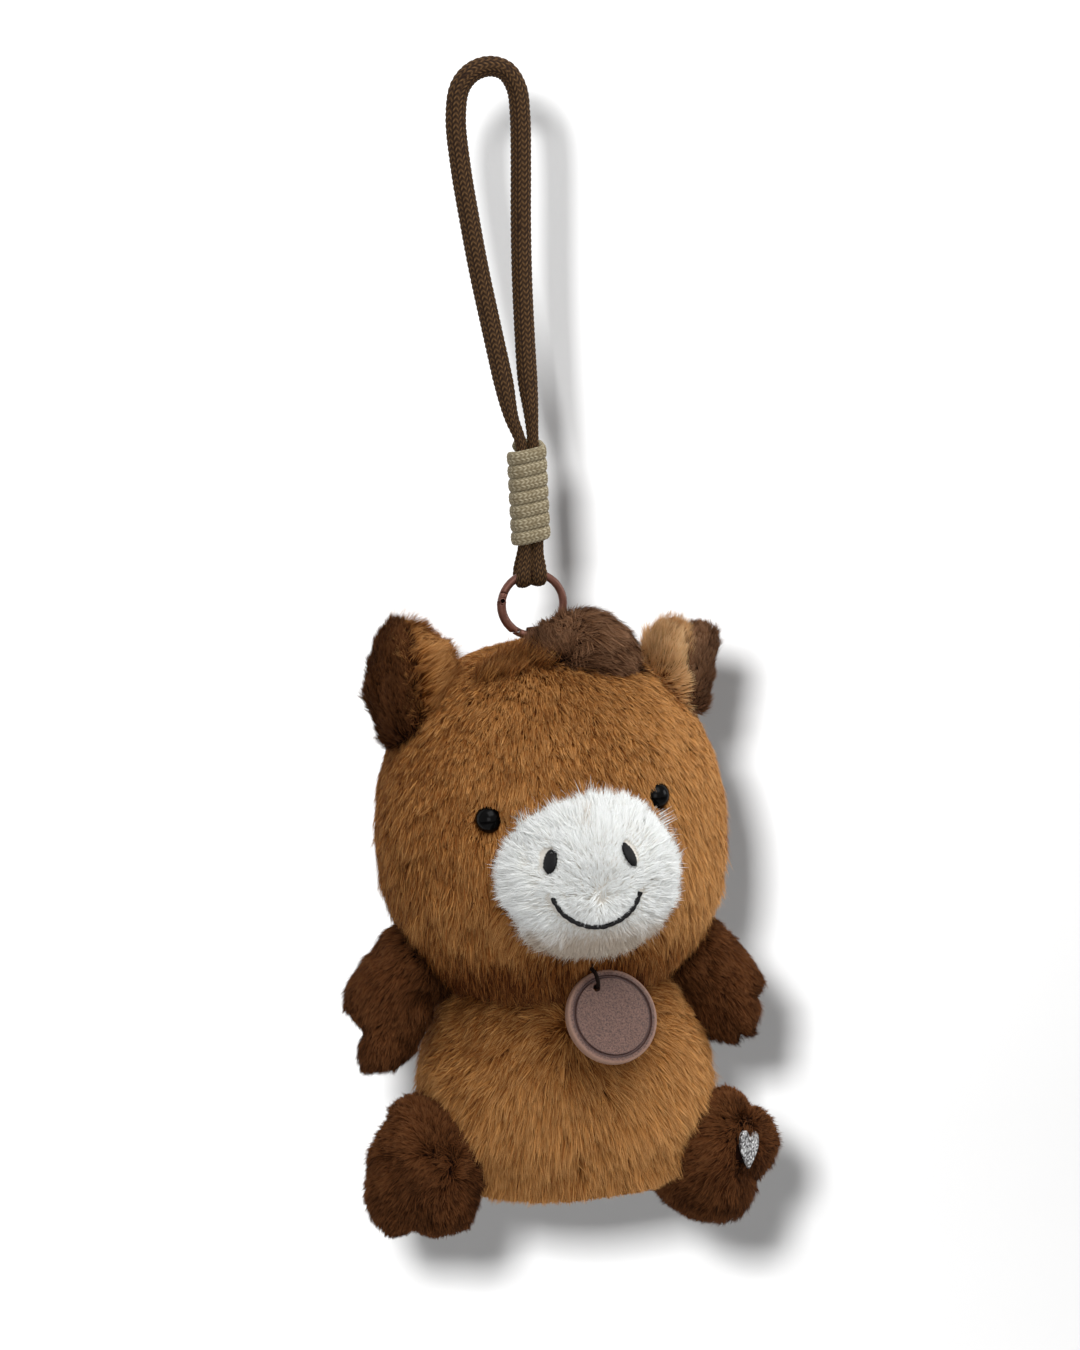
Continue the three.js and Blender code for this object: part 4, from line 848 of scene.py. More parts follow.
for label, (depth, cover, edge) in EDGES.items():
    shaped(FORMS[label], depth, cover, edge)

BODY_OF = {label: label if label.startswith(("arm", "leg")) else "toy" for label in FORMS}
TREES = {}
for label, form in FORMS.items():
    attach(form, BODY_OF[label])
    points = [v.co.copy() for v in form.data.vertices]
    TREES[label] = BVHTree.FromPolygons(points, [tuple(p.vertices) for p in form.data.polygons])


def inside(points, label, margin=0.0):
    """Whether each point, in millimetres, lies inside a form by more than a margin."""
    tree = TREES[label]
    found = np.zeros(len(points), bool)
    for i, point in enumerate(points * MM):
        near, normal, _, _ = tree.find_nearest(point)
        found[i] = (Vector(point) - near).dot(normal) < -margin * MM
    return found


# Pile


def drift(points, size, seed):
    """Smooth noise from -1 to 1 at points, three values each."""
    cell = np.floor(points / size).astype(np.int64)
    part = points / size - cell
    part = part * part * (3 - 2 * part)
    total = np.zeros((len(points), 3))
    for corner in np.ndindex(2, 2, 2):
        at = cell + np.array(corner)
        mixed = (at[:, 0] * 73856093) ^ (at[:, 1] * 19349663) ^ (at[:, 2] * 83492791) ^ (seed * 2654435761)
        mixed &= 0xFFFFFFFF
        mixed = ((mixed ^ (mixed >> 13)) * 1274126177) & 0xFFFFFFFF
        mixed = ((mixed ^ (mixed >> 16)) * 2246822519) & 0xFFFFFFFF
        weight = np.prod(np.where(np.array(corner), part, 1 - part), axis=1)
        values = np.stack([(mixed >> shift) & 0x3FF for shift in (0, 10, 20)], axis=1) / 511.5 - 1
        total += weight[:, None] * values
    return total


def unit(vectors):
    return vectors / np.maximum(np.linalg.norm(vectors, axis=1)[:, None], 1e-9)


def roots_on(form, per_mm2, rng):
    """Random points over a form's surface with their normals, in millimetres."""
    mesh = form.data
    mesh.calc_loop_triangles()
    normals = np.zeros(len(mesh.vertices) * 3, np.float32)
    corners = np.zeros(len(mesh.loop_triangles) * 3, np.int32)
    mesh.vertices.foreach_get("normal", normals)
    mesh.loop_triangles.foreach_get("vertices", corners)
    points = points_of(form)
    normals = normals.reshape(-1, 3).astype(float)
    corners = corners.reshape(-1, 3)
    a, b, c = (points[corners[:, i]] for i in range(3))
    area = np.linalg.norm(np.cross(b - a, c - a), axis=1) / 2
    count = int(area.sum() * per_mm2)
    chosen = np.searchsorted(np.cumsum(area), rng.random(count) * area.sum())
    chosen = np.minimum(chosen, len(area) - 1)
    u, v = rng.random((2, count, 1))
    u, v = np.where(u + v > 1, 1 - u, u), np.where(u + v > 1, 1 - v, v)
    shares = (1 - u - v, u, v)
    where = sum(share * points[corners[chosen, i]] for i, share in enumerate(shares))
    facing = unit(sum(share * normals[corners[chosen, i]] for i, share in enumerate(shares)))
    return where, facing


def clumped(roots, rng, per_clump):
    """The index of the nearest of a few strands chosen as clump leaders."""
    leaders = rng.choice(len(roots), max(1, len(roots) // per_clump), replace=False)
    tree = KDTree(len(leaders))
    for number, leader in enumerate(leaders):
        tree.insert(roots[leader], number)
    tree.balance()
    return leaders[[tree.find(root)[1] for root in roots]]


def pile(name, label, material, comb, length, per_mm2, width, seed, lift=(55, 12), stray=0.25, clump=(14, 0.45),
         sag=0.15, skip=None, tone=None, pressed=None, spread=0.28):
    """Strands of plush on a form, brushed the way of comb(points, normals) and as long as length(points).

    lift is the strands' angle off the cloth at the root and the tip, stray how far they wander, clump how many gather
    and how closely, sag how far they hang, and tone(points, normals) what is added to their shade. skip says where
    none grow, and pressed moves points that would come through something.
    """
    rng = np.random.default_rng(seed)
    roots, facing = roots_on(FORMS[label], per_mm2, rng)
    if skip is not None:
        kept = ~skip(roots, facing)
        roots, facing = roots[kept], facing[kept]
    count = len(roots)
    way = comb(roots, facing) + stray * (drift(roots, 3.2, seed) + 0.6 * drift(roots, 9, seed + 1))
    way += 0.5 * stray * rng.normal(size=(count, 3))
    way = unit(way - facing * np.sum(way * facing, axis=1)[:, None])
    size = length(roots) * (0.72 + 0.4 * rng.random(count))
    angle_low = np.radians(lift[0] + 14 * rng.normal(size=count))[:, None]
    angle_high = np.radians(lift[1] + 12 * rng.normal(size=count))[:, None]
    low = way * np.cos(angle_low) + facing * np.sin(angle_low)
    high = unit(way * np.cos(angle_high) + facing * np.sin(angle_high) - sag * UP)
    foot = roots - 0.4 * facing
    knee = roots + low * (0.45 * size)[:, None]
    tip = knee + high * (0.55 * size)[:, None]
    leader = clumped(roots, rng, clump[0])
    pull = (clump[1] * (0.4 + 1.2 * rng.random(count)[leader]))[:, None].clip(0, 0.9)
    offset = roots - roots[leader]
    near = (np.linalg.norm(offset, axis=1) < 4)[:, None]
    tip = np.where(near, (1 - pull) * tip + pull * (tip[leader] + 0.2 * offset), tip)
    knee = np.where(near, (1 - 0.5 * pull) * knee + 0.5 * pull * (knee[leader] + 0.6 * offset), knee)
    if pressed is not None:
        knee, tip = pressed(knee), pressed(tip)
    run = unit(tip - foot)
    flat = unit(np.cross(run, facing))
    roll = rng.uniform(-0.6, 0.6, count)[:, None]
    blade = flat * np.cos(roll) + np.cross(run, flat) * np.sin(roll)
    half = (width / 2) * (0.7 + 0.6 * rng.random(count))[:, None]
    points = np.stack([foot, knee + blade * half, knee - blade * half, tip], 1)
    shade = 0.5 + 0.6 * spread * rng.normal(size=count) + 0.6 * spread * drift(roots, 4, seed + 2)[:, 0]
    if tone is not None:
        shade = shade + tone(roots, facing)
    # Shades far below zero, as under the chin, go to 0 and so take the root colour: painted deep shade.
    shade = np.where(shade < -0.12, 0.0, np.clip(shade, 0.1, 0.98))
    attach(strands(name, points * MM, shade, material), BODY_OF[label])


def strands(name, points, shade, material):
    """A bent blade of two triangles for each row of four points, with its shade and its run in the map."""
    count = len(points)
    mesh = bpy.data.meshes.new(name)
    mesh.vertices.add(4 * count)
    mesh.vertices.foreach_set("co", points.astype(np.float32).ravel())
    base = 4 * np.arange(count)[:, None]
    corners = (base + np.array([0, 1, 2, 2, 1, 3])).ravel()
    starts = (6 * np.arange(count)[:, None] + np.array([0, 3])).ravel()
    mesh.loops.add(6 * count)
    mesh.loops.foreach_set("vertex_index", corners.astype(np.int32))
    mesh.polygons.add(2 * count)
    mesh.polygons.foreach_set("loop_start", starts.astype(np.int32))
    layer = mesh.uv_layers.new(name=PILE_MAP)
    side = np.array([0, 1, -1, -1, 1, 0]) * 0.004
    along = np.array([0.02, 0.5, 0.5, 0.5, 0.5, 0.98])
    place = np.stack([shade[:, None] + side, np.broadcast_to(along, (count, 6))], axis=-1)
    layer.data.foreach_set("uv", place.astype(np.float32).ravel())
    mesh.update(calc_edges=True)
    shade_smooth(mesh)
    mesh.materials.append(material)
    return linked(name, mesh)


def away_from(spot, fall):
    """Brushed away from a whorl and down."""
    return lambda points, normals: unit(points - np.array(spot, float)) - fall * UP


def brushed(direction):
    """Brushed the same way all over."""
    return lambda points, normals: np.broadcast_to(np.array(direction, float), points.shape).copy()


def under(*labels):
    """Skips strands that are rooted inside other forms."""
    return lambda points, normals: np.any([inside(points, label, 0.8) for label in labels], axis=0)


def in_front(skip, last):
    """Also skips strands whose normal points further back than the last one."""
    return lambda points, normals: skip(points, normals) | (normals[:, 1] > last)


# Places that the pile is brushed round
EYES = {
    hand: np.array([EYE_X[hand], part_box(f"eye_{hand}")[0].y / MM + 2.5, EYE_Z[hand]]) for hand in ("left", "right")
}
MUZZLE_MIDDLE = np.array([FACE_X + 1.3, 0, MUZZLE_Z - 1.5])
PARTING_X, PARTING_Z = -4.8, -294.4
CROWN_WHORL = np.array([-3, -8, HEAD_Z + 52.0])
CHEST_WHORL = np.array([-6, -34, BODY_Z + 24])


def behind_tag(points):
    """Presses strands that would come through the tag flat behind it."""
    offset = points - TAG_CENTRE
    depth = offset @ TAG_AXIS
    away = np.linalg.norm(offset - depth[:, None] * TAG_AXIS, axis=1)
    limit = TAG_THICK / 2 + 0.5
    hit = (away < TAG_RADIUS + 0.5) & (depth < limit) & (depth > -8)
    return points + np.where(hit, limit - depth, 0)[:, None] * TAG_AXIS


def off_eyes(points):
    gone = np.zeros(len(points), bool)
    for hand, eye in EYES.items():
        open_wide = 1.0 if hand == "left" else 2.8
        off = (points - eye)[:, [0, 2]] / [open_wide, 3.3]
        gone |= np.linalg.norm(off, axis=1) < 1
    return gone & (points[:, 1] < 0)


def near_eye(points, reach):
    """How close points are to an eye's middle seen from the front, from 0 at the reach to 1 at the middle."""
    close = np.zeros(len(points))
    for hand, eye in EYES.items():
        away = np.linalg.norm((points - eye)[:, [0, 2]], axis=1)
        most = 0.4 if hand == "left" else 1.0
        close = np.maximum(close, most * np.clip(1 - away / reach, 0, 1) * (points[:, 1] < 0))
    return close


def head_comb(points, normals):
    way = unit(points - CROWN_WHORL) - 0.7 * UP
    for hand, eye in EYES.items():
        off = points - eye
        off[:, 1] = 0
        away = np.linalg.norm(off, axis=1)[:, None]
        push = 0.4 if hand == "left" else 1.5
        way = way + unit(off) * push * np.clip(1 - away / 7, 0, 1) * (points[:, 1] < 0)[:, None]
    edge = (1 - smoothstep(muzzle_out(points), 21, 27))[:, None] * (points[:, 1] < 0)[:, None]
    way = way + 2.2 * edge * unit((points - MUZZLE_MIDDLE) * [1, 0, 1])
    forehead = np.exp(-(((points - np.array([2.0, -38, HEAD_Z + 22])) / 22) ** 2).sum(1))[:, None]
    return way + forehead * (0.6 * drift(points, 6, 7) + 0.35 * drift(points, 2.5, 8))


def head_length(points):
    low = smoothstep(-points[:, 2], -HEAD_Z - 30, -HEAD_Z + 25)
    size = 4.6 + 4.2 * low
    beside = 1 - 0.4 * (muzzle_out(points) < 25) * (points[:, 2] > MUZZLE_Z - 6) * (points[:, 1] < 0)
    lid = 1 - 0.55 * np.clip(near_eye(points, 9) * 1.6, 0, 1)
    return size * beside * lid * (1 + 0.18 * drift(points, 8, 3)[:, 0])


def head_tone(points, normals):
    """Painted light and shade: paler towards the toy's left ear where the side light falls, a little darker towards
    its right cheek, and painted shade under the chin.
    """
    golden = 0.62 * smoothstep(points[:, 0], 8, 42) - 0.1 * smoothstep(-points[:, 0], 12, 40)
    return golden - 0.08 - 0.6 * smoothstep(-points[:, 2], -HEAD_Z + 20, -HEAD_Z + 34)


def head_skip(points, normals):
    gone = off_eyes(points) | inside(points, "muzzle", 0.4) | inside(points, "body", 1.5)
    for hand in ("left", "right"):
        gone |= inside(points, f"ear_{hand}_back", 0.6) | inside(points, f"ear_{hand}_lining", 0.6)
    return gone | inside(points, "forelock", 1.0)


def near_parting(points):
    """How close points are to the parting's line, from 0 to 1."""
    along = (points[:, 2] + 293.0) / 7
    return np.exp(-(((points[:, 0] - PARTING_X) / 1.6) ** 2) - along**2) * (points[:, 1] < 0)


def body_length(points):
    size = 6.2 + 3.8 * smoothstep(-points[:, 2], -BODY_Z - 20, -BODY_Z)
    return size * (1 + 0.2 * drift(points, 8, 13)[:, 0]) * (1 - 0.15 * near_parting(points))


def body_comb(points, normals):
    way = unit(points - CHEST_WHORL) - 0.75 * UP
    chest = smoothstep(points[:, 2], BODY_Z, BODY_Z + 8)[:, None] * (points[:, 1] < 0)[:, None]
    way = way + chest * (0.7 * drift(points, 7, 17) + 0.4 * drift(points, 3, 18))
    way[:, 0] += 0.6 * near_parting(points) * np.sign(points[:, 0] - PARTING_X)
    return way


def parting(points):
    """The short parting low on the belly, where the backing shows."""
    across = (points[:, 0] - PARTING_X - 0.12 * (points[:, 2] + 293.4)) / 0.22
    along = (points[:, 2] - PARTING_Z) / 5.5
    return (across**2 + along**2 < 1) & (points[:, 1] < 0)


def body_skip(points, normals):
    return inside(points, "head", 0.8) | parting(points)


def body_tone(points, normals):
    """Painted shade on the upper chest under the head, paler low down, painted light towards the toy's left where the
    side light falls, and darker beside the parting.
    """
    low = smoothstep(-points[:, 2], -BODY_Z - 26, -BODY_Z + 2)
    across, along = (points[:, 0] - PARTING_X) / 0.7, (points[:, 2] - PARTING_Z) / 5.5
    beside = np.exp(-(across**2 + along**2)) * (points[:, 1] < 0)
    return -0.2 - 0.3 * beside + 0.32 * low + 0.3 * smoothstep(points[:, 0], 6, 32)


def on_base(points):
    """Strands lie along the flat panel under the body instead of hanging through it."""
    low = BASE_Z + 1.2
    points = points.copy()
    points[:, 2] -= 0.92 * np.minimum(points[:, 2] - low, 0)
    return behind_tag(points)


def muzzle_out(points):
    """How far points are from the muzzle's middle, seen from the front."""
    return np.linalg.norm((points - MUZZLE_MIDDLE)[:, [0, 2]], axis=1)


def muzzle_length(points):
    out = muzzle_out(points)
    long = smoothstep(out, 9.5, 18)
    size = (3.2 + 5.0 * long) * (1 + 0.4 * drift(points, 4, 23)[:, 0] * long)
    for sign in (-1, 1):
        away = np.linalg.norm(points[:, [0, 2]] - [FACE_X + sign * NOSTRIL_ACROSS, NOSTRIL_Z], axis=1)
        size = size * (0.3 + 0.7 * smoothstep(away, 3, 5.5))
    arc = np.abs(np.linalg.norm(points[:, [0, 2]] - [SMILE_X, SMILE_Z], axis=1) - SMILE_RADIUS)
    on_arc = (1 - smoothstep(arc, 0.8, 3)) * (points[:, 2] < MUZZLE_Z + 1)
    return size * (1 - 0.6 * on_arc)


def muzzle_tone(points, normals):
    # Darker and beiger below: partly the muzzle's beige underside, partly painted shade under it; a darker line along
    # the seam.
    below = smoothstep(-points[:, 2], -MUZZLE_Z + 6, -MUZZLE_Z + 15)
    seam = np.exp(-(((points[:, 0] - FACE_X - 0.6) / 0.55) ** 2))
    seam = seam * smoothstep(points[:, 2], MUZZLE_Z + 12, MUZZLE_Z + 15)
    return 0.5 - 1.05 * below - 0.6 * seam


def muzzle_skip(points, normals):
    """None under the head, the nostrils and the mouth's arc."""
    gone = inside(points, "head", 0.6)
    for sign in (-1, 1):
        slant = radians(sign * NOSTRIL_LEAN)
        across = points[:, 0] - (FACE_X + sign * NOSTRIL_ACROSS)
        rise = points[:, 2] - NOSTRIL_Z
        u = across * math.cos(slant) + rise * math.sin(slant)
        v = -across * math.sin(slant) + rise * math.cos(slant)
        gone |= ((u / 1.7) ** 2 + (v / 3.2) ** 2 < 1) & (points[:, 1] < -45)
    out = np.stack([points[:, 0] - SMILE_X, points[:, 2] - SMILE_Z], axis=1)
    off_arc = np.abs(np.linalg.norm(out, axis=1) - SMILE_RADIUS)
    angle = np.degrees(np.arctan2(out[:, 1], out[:, 0])) % 360
    return gone | ((off_arc < 0.75) & (angle > 194) & (angle < 342) & (points[:, 1] < -45))


def muzzle_comb(points, normals):
    return unit(points - (MUZZLE_MIDDLE + [0, -62, 0])) - 0.08 * UP


CARAMEL, DARK, LOCK, SIDE_LIT, WHITE = (FINISH[f"{hue}_pile"] for hue in ("caramel", "dark", "lock", "golden", "white"))
for layer, (density, wide) in enumerate(((3.1, 0.31), (3.3, 0.21), (3.3, 0.21))):
    skip = head_skip if layer == 0 else in_front(head_skip, 0.25)
    pile(f"head_pile_{layer}", "head", CARAMEL, head_comb, head_length, density, wide, 11 + layer, lift=(44, 14),
         stray=0.45, clump=(12, 0.5), skip=skip, pressed=behind_tag, tone=head_tone, spread=0.42)
for layer, (density, wide) in enumerate(((3.6, 0.3), (6.0, 0.21))):
    skip = body_skip if layer == 0 else in_front(body_skip, 0.3)
    pile(f"body_pile_{layer}", "body", CARAMEL, body_comb, body_length, density, wide, 21 + layer, lift=(42, 14),
         stray=0.45, clump=(14, 0.5), skip=skip, pressed=on_base, tone=body_tone, spread=0.42)
    pile(f"muzzle_pile_{layer}", "muzzle", WHITE, muzzle_comb, muzzle_length, 9.0, 0.22, 31 + layer, lift=(34, 18),
         stray=0.4, clump=(14, 0.5), sag=0.05, skip=muzzle_skip, pressed=behind_tag, tone=muzzle_tone, spread=0.14)


def tufted(size, seed, swing=0.35, scale=7.5):
    """Strands whose length changes from tuft to tuft."""
    def length(points):
        large, small = drift(points, scale, seed)[:, 0], drift(points, 3.5, seed + 1)[:, 0]
        return size * (1 + swing * large + 0.5 * swing * small)
    return length


def lit_above(points, normals):
    """Painted light from above: paler where the strands face up."""
    return 0.28 * normals[:, 2] + 0.05


def crown_front(low_x, high_x, low_y, high_y):
    """Skips all of the head but a patch of the crown."""
    middle = np.array([(low_x + high_x) / 2, (low_y + high_y) / 2])
    half = np.array([(high_x - low_x) / 2, (high_y - low_y) / 2])

    def skip(points, normals):
        away = np.linalg.norm((points[:, :2] - middle) / half, axis=1) + 0.45 * drift(points * 9, 1.0, 5)[:, 0]
        return (away > 1) | (points[:, 2] < HEAD_Z + 36) | inside(points, "forelock", 1.0)

    return skip


def lock_comb(points, normals):
    """The lock stands up at the tab and falls over to the left of the toy."""
    over = smoothstep(points[:, 0], 3, 15)[:, None]
    return (1 - over) * np.array([-0.5, -0.25, 0.8]) + over * np.array([1, -0.2, -0.35])


# The forelock's tone is painted light from above: paler where its strands face up.
pile("forelock_pile", "forelock", LOCK, lock_comb, tufted(6.2, 43, 0.3), 13.0, 0.24, 41, stray=0.45,
     skip=under("head"), lift=(38, 16), clump=(12, 0.55), spread=0.55, tone=lambda p, n: 0.4 * n[:, 2] - 0.05)
pile("fringe_pile", "head", LOCK, brushed((0.5, -0.1, 1)), tufted(10.0, 49, 0.2), 14.0, 0.26, 49, lift=(76, 70),
     skip=crown_front(-5, 8, -13, -4), sag=-0.1, clump=(12, 0.4), spread=0.4, tone=lambda p, n: 0.05)
pile("crown_pile", "head", CARAMEL, brushed((0.35, -0.5, 0.8)), tufted(8.5, 45), 10.0, 0.24, 46, lift=(62, 50),
     skip=crown_front(-19, 1, -16, -5), sag=0, clump=(12, 0.5), spread=0.45, tone=lambda p, n: 0.12)
pile("mane_pile", "mane", DARK, brushed((0, 0.3, -1)), tufted(6.0, 53), 5.0, 0.36, 51,
     skip=lambda p, n: inside(p, "head", 0.8) | (p[:, 2] > HEAD_Z + 43), lift=(50, 20))
pile("tail_pile", "tail", DARK, brushed((0, 0.2, -1)), tufted(6.5, 63), 6.0, 0.36, 61,
     skip=under("body"), lift=(40, 20))


def seen_on(label, place):
    """Where the camera's line through a place, in millimetres, meets a form."""
    eye = camera.matrix_world.translation
    return np.array(TREES[label].ray_cast(eye, (Vector(place) * MM - eye).normalized())[0]) / MM


HEART = seen_on("leg_left", (43.7, -30.0, -301.9))  # measured on the photograph


def from_heart(points):
    return np.linalg.norm(points - HEART, axis=1)


def short_at_heart(length):
    return lambda points: length(points) * (0.45 + 0.55 * smoothstep(from_heart(points), 4, 8))


def sole_comb(sole):
    """Brushed away from the middle of a sole, without a sharp whorl there."""
    def comb(points, normals):
        off = points - sole
        away = np.linalg.norm(off, axis=1)[:, None]
        messy = np.exp(-((away / 11) ** 2)) * drift(points, 6, 87)
        return off / np.maximum(away, 12) + 0.8 * messy + 0.4 * np.array([-0.2, -0.3, -1.0])
    return comb


def outer_ear(points, normals):
    """The caramel back stands up at its top and falls over the lining lower down."""
    low = smoothstep(-points[:, 2], -HEAD_Z - 44, -HEAD_Z - 30)[:, None]
    return (1 - low) * np.array([0.35, -0.4, 1.0]) + low * np.array([1.0, -0.5, -0.1])


for number, (hand, sign, shoulder_x, shoulder_rise) in enumerate((("left", 1, 20.4, 34), ("right", -1, -25.1, 40))):
    shoulder = (shoulder_x, -2, BODY_Z + shoulder_rise)
    arm_size = tufted(4.8, 73 + number, 0.25)
    pile(f"arm_{hand}_pile", f"arm_{hand}", DARK, away_from(shoulder, 0.6), arm_size, 14.0, 0.21, 71 + number,
         skip=under("head", "body"), clump=(10, 0.5), stray=0.45, lift=(42, 16), tone=lit_above, spread=0.42)
    low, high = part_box(f"leg_{hand}_skin")
    sole = np.array([sign * 44, low.y / MM - 1, (low.z + high.z) / 2 / MM + 4])
    leg_size = tufted(4.6, 83 + number, 0.25)
    if hand == "left":
        sole = HEART
        leg_size = short_at_heart(leg_size)
    pile(f"leg_{hand}_pile", f"leg_{hand}", DARK, sole_comb(sole), leg_size, 14.0, 0.21, 81 + number,
         skip=lambda p, n: inside(p, "body", 0.8) | (from_heart(p) < 4.0), clump=(10, 0.5), stray=0.45,
         lift=(42, 18), tone=lit_above, spread=0.42)
    # The toy's left ear is painted side-lit: its back takes the side-lit caramel pile and its lining the paler lock
    # pile.
    outside, within = (SIDE_LIT, LOCK) if hand == "left" else (CARAMEL, DARK)
    for half, finish, size, tone in (("back", outside, 7.0, 0.05), ("lining", within, 4.2, 0.15)):
        label = f"ear_{hand}_{half}"
        if half == "lining":
            comb = brushed((0.3 * sign, -0.25, 1))
        else:
            comb = outer_ear if hand == "left" else brushed((0.8, -0.4, 0.6))
        # The toy's left ear's shade rises more: painted side light.
        tone += 0.3 if hand == "left" else 0.05
        pile(f"{label}_pile", label, finish, comb, tufted(size, 93 + number, 0.45, 5.0), 14.0, 0.22,
             91 + 10 * number + len(half), skip=under("head"), lift=(42, 22), sag=0, clump=(12, 0.45),
             tone=lambda p, n, tone=tone: tone, spread=0.36)

# Hardware, eyes, stitches and tag


def metal_part(name, node, body, finish, angle=40):
    piece = copy_of(node, name)
    pick(piece)
    bpy.ops.object.shade_smooth_by_angle(angle=radians(angle))
    finish_piece(piece, finish, body, node)
    return piece


def closed_gate(gate):
    """Brings the gate's low end 0.1 mm nearer to the ring's lip, so that no light shows in their seam."""
    points = points_of(gate)
    across, up = points[:, 0], points[:, 2] - RING_Z
    radius, angle = np.hypot(across, up), np.arctan2(up, across) % (2 * math.pi)
    low = smoothstep(angle, radians(222), radians(229))
    radius, angle = radius + 0.1 * low, angle + 0.1 / RING_LINE * low
    points[:, 0], points[:, 2] = radius * np.cos(angle), RING_Z + radius * np.sin(angle)
    move_points(gate, points * MM)


metal_part("ring_wire", "ring_body", "ring", "ring_metal")
closed_gate(metal_part("gate_wire", "ring_gate", "gate", "ring_metal"))
metal_part("coil_spring", "gate_spring", "gate", "steel")
metal_part("crown_tab", "hang_tab", "toy", "tab_cloth")
metal_part("tag_thread", "tag_string", "tag", "string_yarn", 80)


def hollow_pin():
    """The gate's pin: a tube rivet with rolled ends round a hole, whose sunk faces are painted dark as the hole's
    shade.
    """
    low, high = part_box("gate_pin")
    deselect()
    bpy.ops.mesh.primitive_cylinder_add(vertices=40, radius=(high.x - low.x) / 2, depth=high.y - low.y,
                                        location=(low + high) / 2, rotation=(radians(90), 0, 0))
    pin = named("rivet")
    pick(pin)
    bpy.ops.object.mode_set(mode="EDIT")
    bpy.ops.mesh.select_mode(type="FACE")
    for thickness, depth in ((0.12, 0.1), (0.1, -0.04), (0.02, -0.6)):
        bpy.ops.mesh.select_all(action="DESELECT")
        work = bmesh.from_edit_mesh(pin.data)
        for face in work.faces:
            face.select = len(face.verts) > 4
        bmesh.update_edit_mesh(pin.data)
        bpy.ops.mesh.inset(thickness=thickness * MM, depth=depth * MM, use_even_offset=True)
    bpy.ops.object.mode_set(mode="OBJECT")
    dress(pin, FINISH["ring_metal"])
    pin.data.materials.append(FINISH["pin_hole"])
    # The sunk faces take the painted shade of the hole.
    for face in pin.data.polygons:
        middle = face.center - Vector((low + high) / 2)
        sunk = abs(middle.y) < (high.y - low.y) / 2 - 0.1 * MM
        face.material_index = int(math.hypot(middle.x, middle.z) < 0.64 * MM and sunk)
    pick(pin)
    bpy.ops.object.shade_smooth_by_angle(angle=radians(40))
    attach(pin, "ring")
    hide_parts("gate_pin")


def round_tag():
    """The leather disc: a groove pressed into its face, rounded edges and the hole for its string."""
    deselect()
    lying = (radians(90), 0, 0)
    bpy.ops.mesh.primitive_cylinder_add(vertices=96, radius=TAG_RADIUS * MM, depth=TAG_THICK * MM, rotation=lying)
    tag = named("tag_leather")
    pick(tag)
    bpy.ops.object.mode_set(mode="EDIT")
    work = bmesh.from_edit_mesh(tag.data)
    for face in work.faces:
        face.select = face.normal.y < -0.9
    bmesh.update_edit_mesh(tag.data)
    for thickness, depth in ((1.55, 0), (0.3, -0.5), (0.3, 0), (0.3, 0.5)):
        bpy.ops.mesh.inset(thickness=thickness * MM, depth=depth * MM)
    work = bmesh.from_edit_mesh(tag.data)
    bpy.ops.mesh.select_mode(type="EDGE")
    bpy.ops.mesh.select_all(action="DESELECT")
    for edge in work.edges:
        ends = [v.co for v in edge.verts]
        on_rim = all(abs(math.hypot(p.x, p.z) - TAG_RADIUS * MM) < 0.05 * MM for p in ends)
        edge.select = on_rim and abs(ends[0].y - ends[1].y) < 0.01 * MM
    bmesh.update_edit_mesh(tag.data)
    bpy.ops.mesh.bevel(offset=0.7 * MM, segments=4, affect="EDGES")
    bpy.ops.object.mode_set(mode="OBJECT")
    deselect()
    hole_at = (0, 0, 8.8 * MM)
    bpy.ops.mesh.primitive_cylinder_add(vertices=32, radius=1.05 * MM, depth=6 * MM, location=hole_at, rotation=lying)
    punch = named("punch")
    tuned(tag.modifiers.new("hole", "BOOLEAN"), operation="DIFFERENCE", solver="EXACT", object=punch)
    apply_modifiers(tag)
    bpy.data.objects.remove(punch)
    tag.data.transform(Matrix.Translation(Vector(TAG_CENTRE) * MM) @ TAG_TURN.to_4x4())
    pick(tag)
    bpy.ops.object.shade_smooth_by_angle(angle=radians(35))
    finish_piece(tag, "leather", "tag", "tag_disc")


def muzzle_front(x, z):
    """How far forward the muzzle's cloth is at a place of its front, from the bulge that the CAD source gives it."""
    half_wide, half_tall, bulge, middle_x, back_y = 21.5, 19, 24, 2.4, -36.8
    height = (z - MUZZLE_Z) / half_tall
    width = max(1 - height * height, 0) ** 0.4
    return back_y - bulge * width * math.sqrt(max(1 - ((x - middle_x) / (half_wide * width)) ** 2, 0))


def stitched_smile():
    """Overlapping back stitches in an arc under the nose."""
    angles = np.radians(np.linspace(196, 340, 260))
    x = SMILE_X + SMILE_RADIUS * np.cos(angles)
    z = SMILE_Z + SMILE_RADIUS * np.sin(angles)
    y = np.array([muzzle_front(a, b) for a, b in zip(x, z)])
    route, at = evenly(np.stack([x, y - 1.05, z], axis=1), 0.12)
    side, other = carried_frames(route, (0, 0, 1))
    stitch = np.abs(np.sin(math.pi * at / 2.3)) ** 0.6
    route = route + 0.12 * drift(route, 1.6, 5)
    radius = 0.46 + 0.22 * stitch
    smile = braided_tube("smile_stitches", route, at, side, other, radius, radius, 3, 0.6, 0.1, 16, 9)
    finish_piece(smile, "thread", "toy", "smile_stitch")


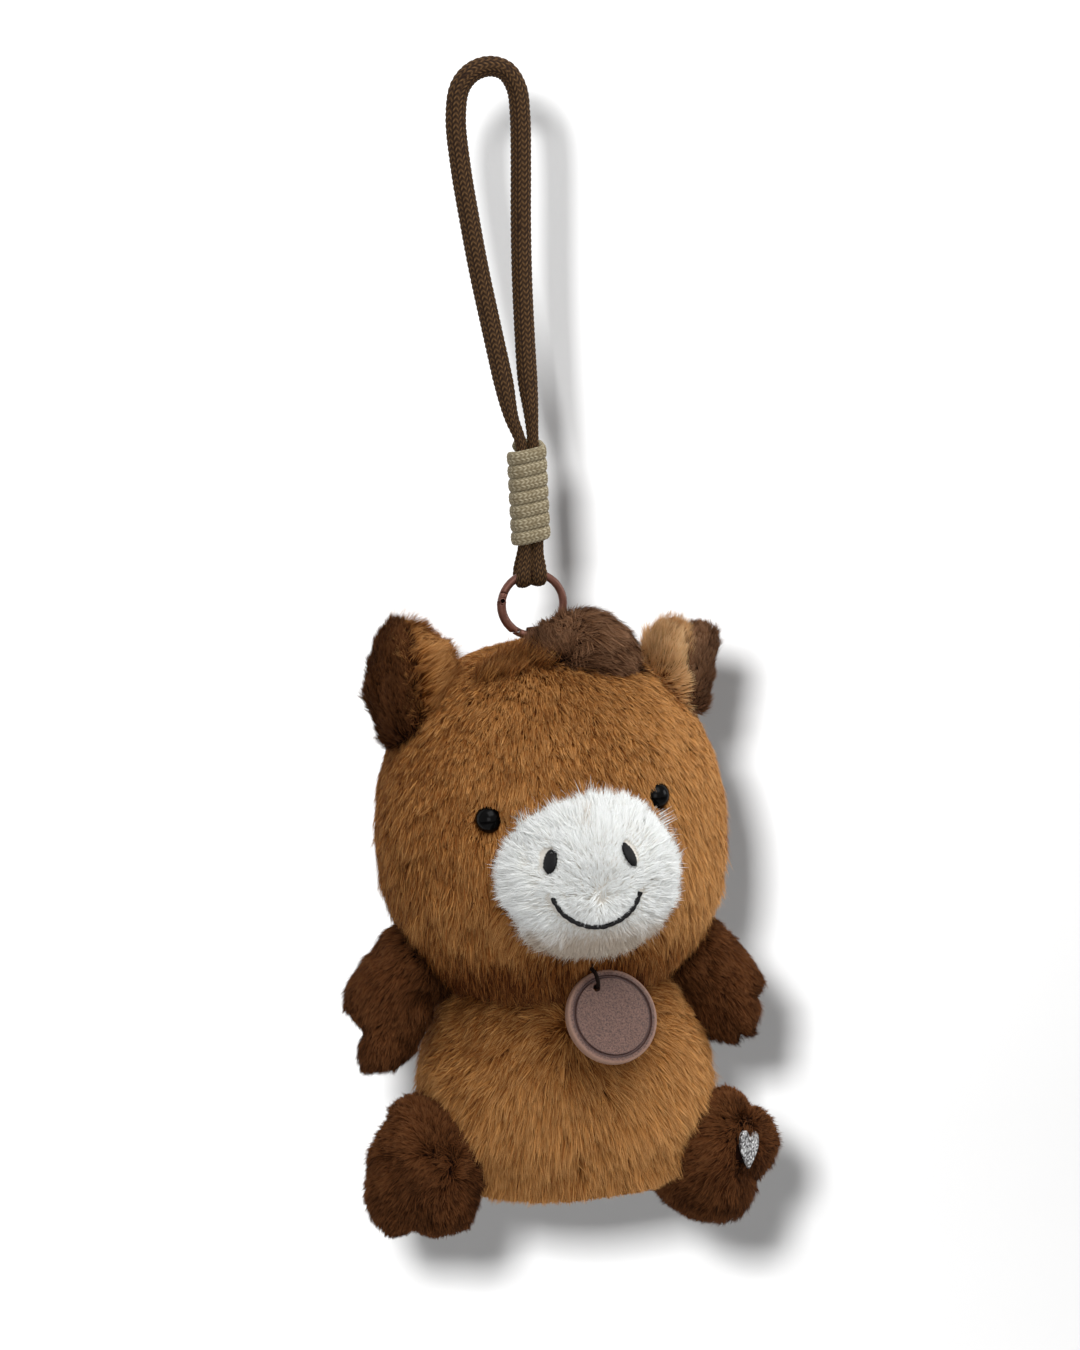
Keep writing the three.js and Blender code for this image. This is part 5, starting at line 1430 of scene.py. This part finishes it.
def satin_nostril(hand):
    """A raised oval of close stitches on the muzzle."""
    low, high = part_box(f"nostril_{hand}")
    sign = 1 if hand == "left" else -1
    deselect()
    bpy.ops.mesh.primitive_uv_sphere_add(segments=40, ring_count=24, radius=1)
    oval = named(f"nostril_{hand}_satin")
    points = np.array([v.co for v in oval.data.vertices])
    ridge = 1 + 0.07 * np.sin(26 * points[:, 2] + 9 * points[:, 0])
    points *= np.array([1.45, 1.6, 3.2])
    points *= ridge[:, None]
    lean = radians(sign * NOSTRIL_LEAN)
    x = points[:, 0] * math.cos(lean) - points[:, 2] * math.sin(lean)
    z = points[:, 0] * math.sin(lean) + points[:, 2] * math.cos(lean)
    middle = (low + high) / 2 / MM
    across, up = middle.x + x, middle.z + z
    front = np.array([muzzle_front(a, b) for a, b in zip(across, up)])
    move_points(oval, np.stack([across, front - 0.35 + points[:, 1], up], axis=1) * MM)
    shade_smooth(oval.data)
    finish_piece(oval, "thread", "toy", f"nostril_{hand}")


def glitter_heart():
    """The heart on the sole, a little prouder than the pile round it, leaning as the camera sees it."""
    heart = metal_part("heart_patch", "sole_heart", "leg_left", "glitter")
    low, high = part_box("sole_heart")
    own = Matrix((Vector((0.5, 0.86, 0)).normalized(), (0, 0, 1), Vector((0.86, -0.5, 0)).normalized()))
    seen_up, seen_right = np.array([-0.47, 10.0, 1.7]), np.array([3.24, -0.9, 6.1])
    up, right = Vector(seen_up @ VIEW).normalized(), Vector(seen_right @ VIEW)
    right = (right - up * right.dot(up)).normalized()
    outward = right.cross(up)
    turn = Matrix((right, up, outward)).transposed() @ own
    place = Matrix.Translation(Vector(HEART) * MM + outward * 0.8 * MM)
    heart.data.transform(place @ turn.to_4x4() @ Matrix.Translation(-(low + high) / 2))
    tuned(heart.modifiers.new("soft_edge", "BEVEL"), width=0.25 * MM, segments=2, limit_method="ANGLE")
    apply_modifiers(heart)


hollow_pin()
round_tag()
stitched_smile()
glitter_heart()
for hand in ("left", "right"):
    metal_part(f"eye_{hand}_dome", f"eye_{hand}", "toy", "eye_gloss", 50)
    metal_part(f"washer_{hand}", f"eye_washer_{hand}", "toy", "washer_plastic")
    satin_nostril(hand)
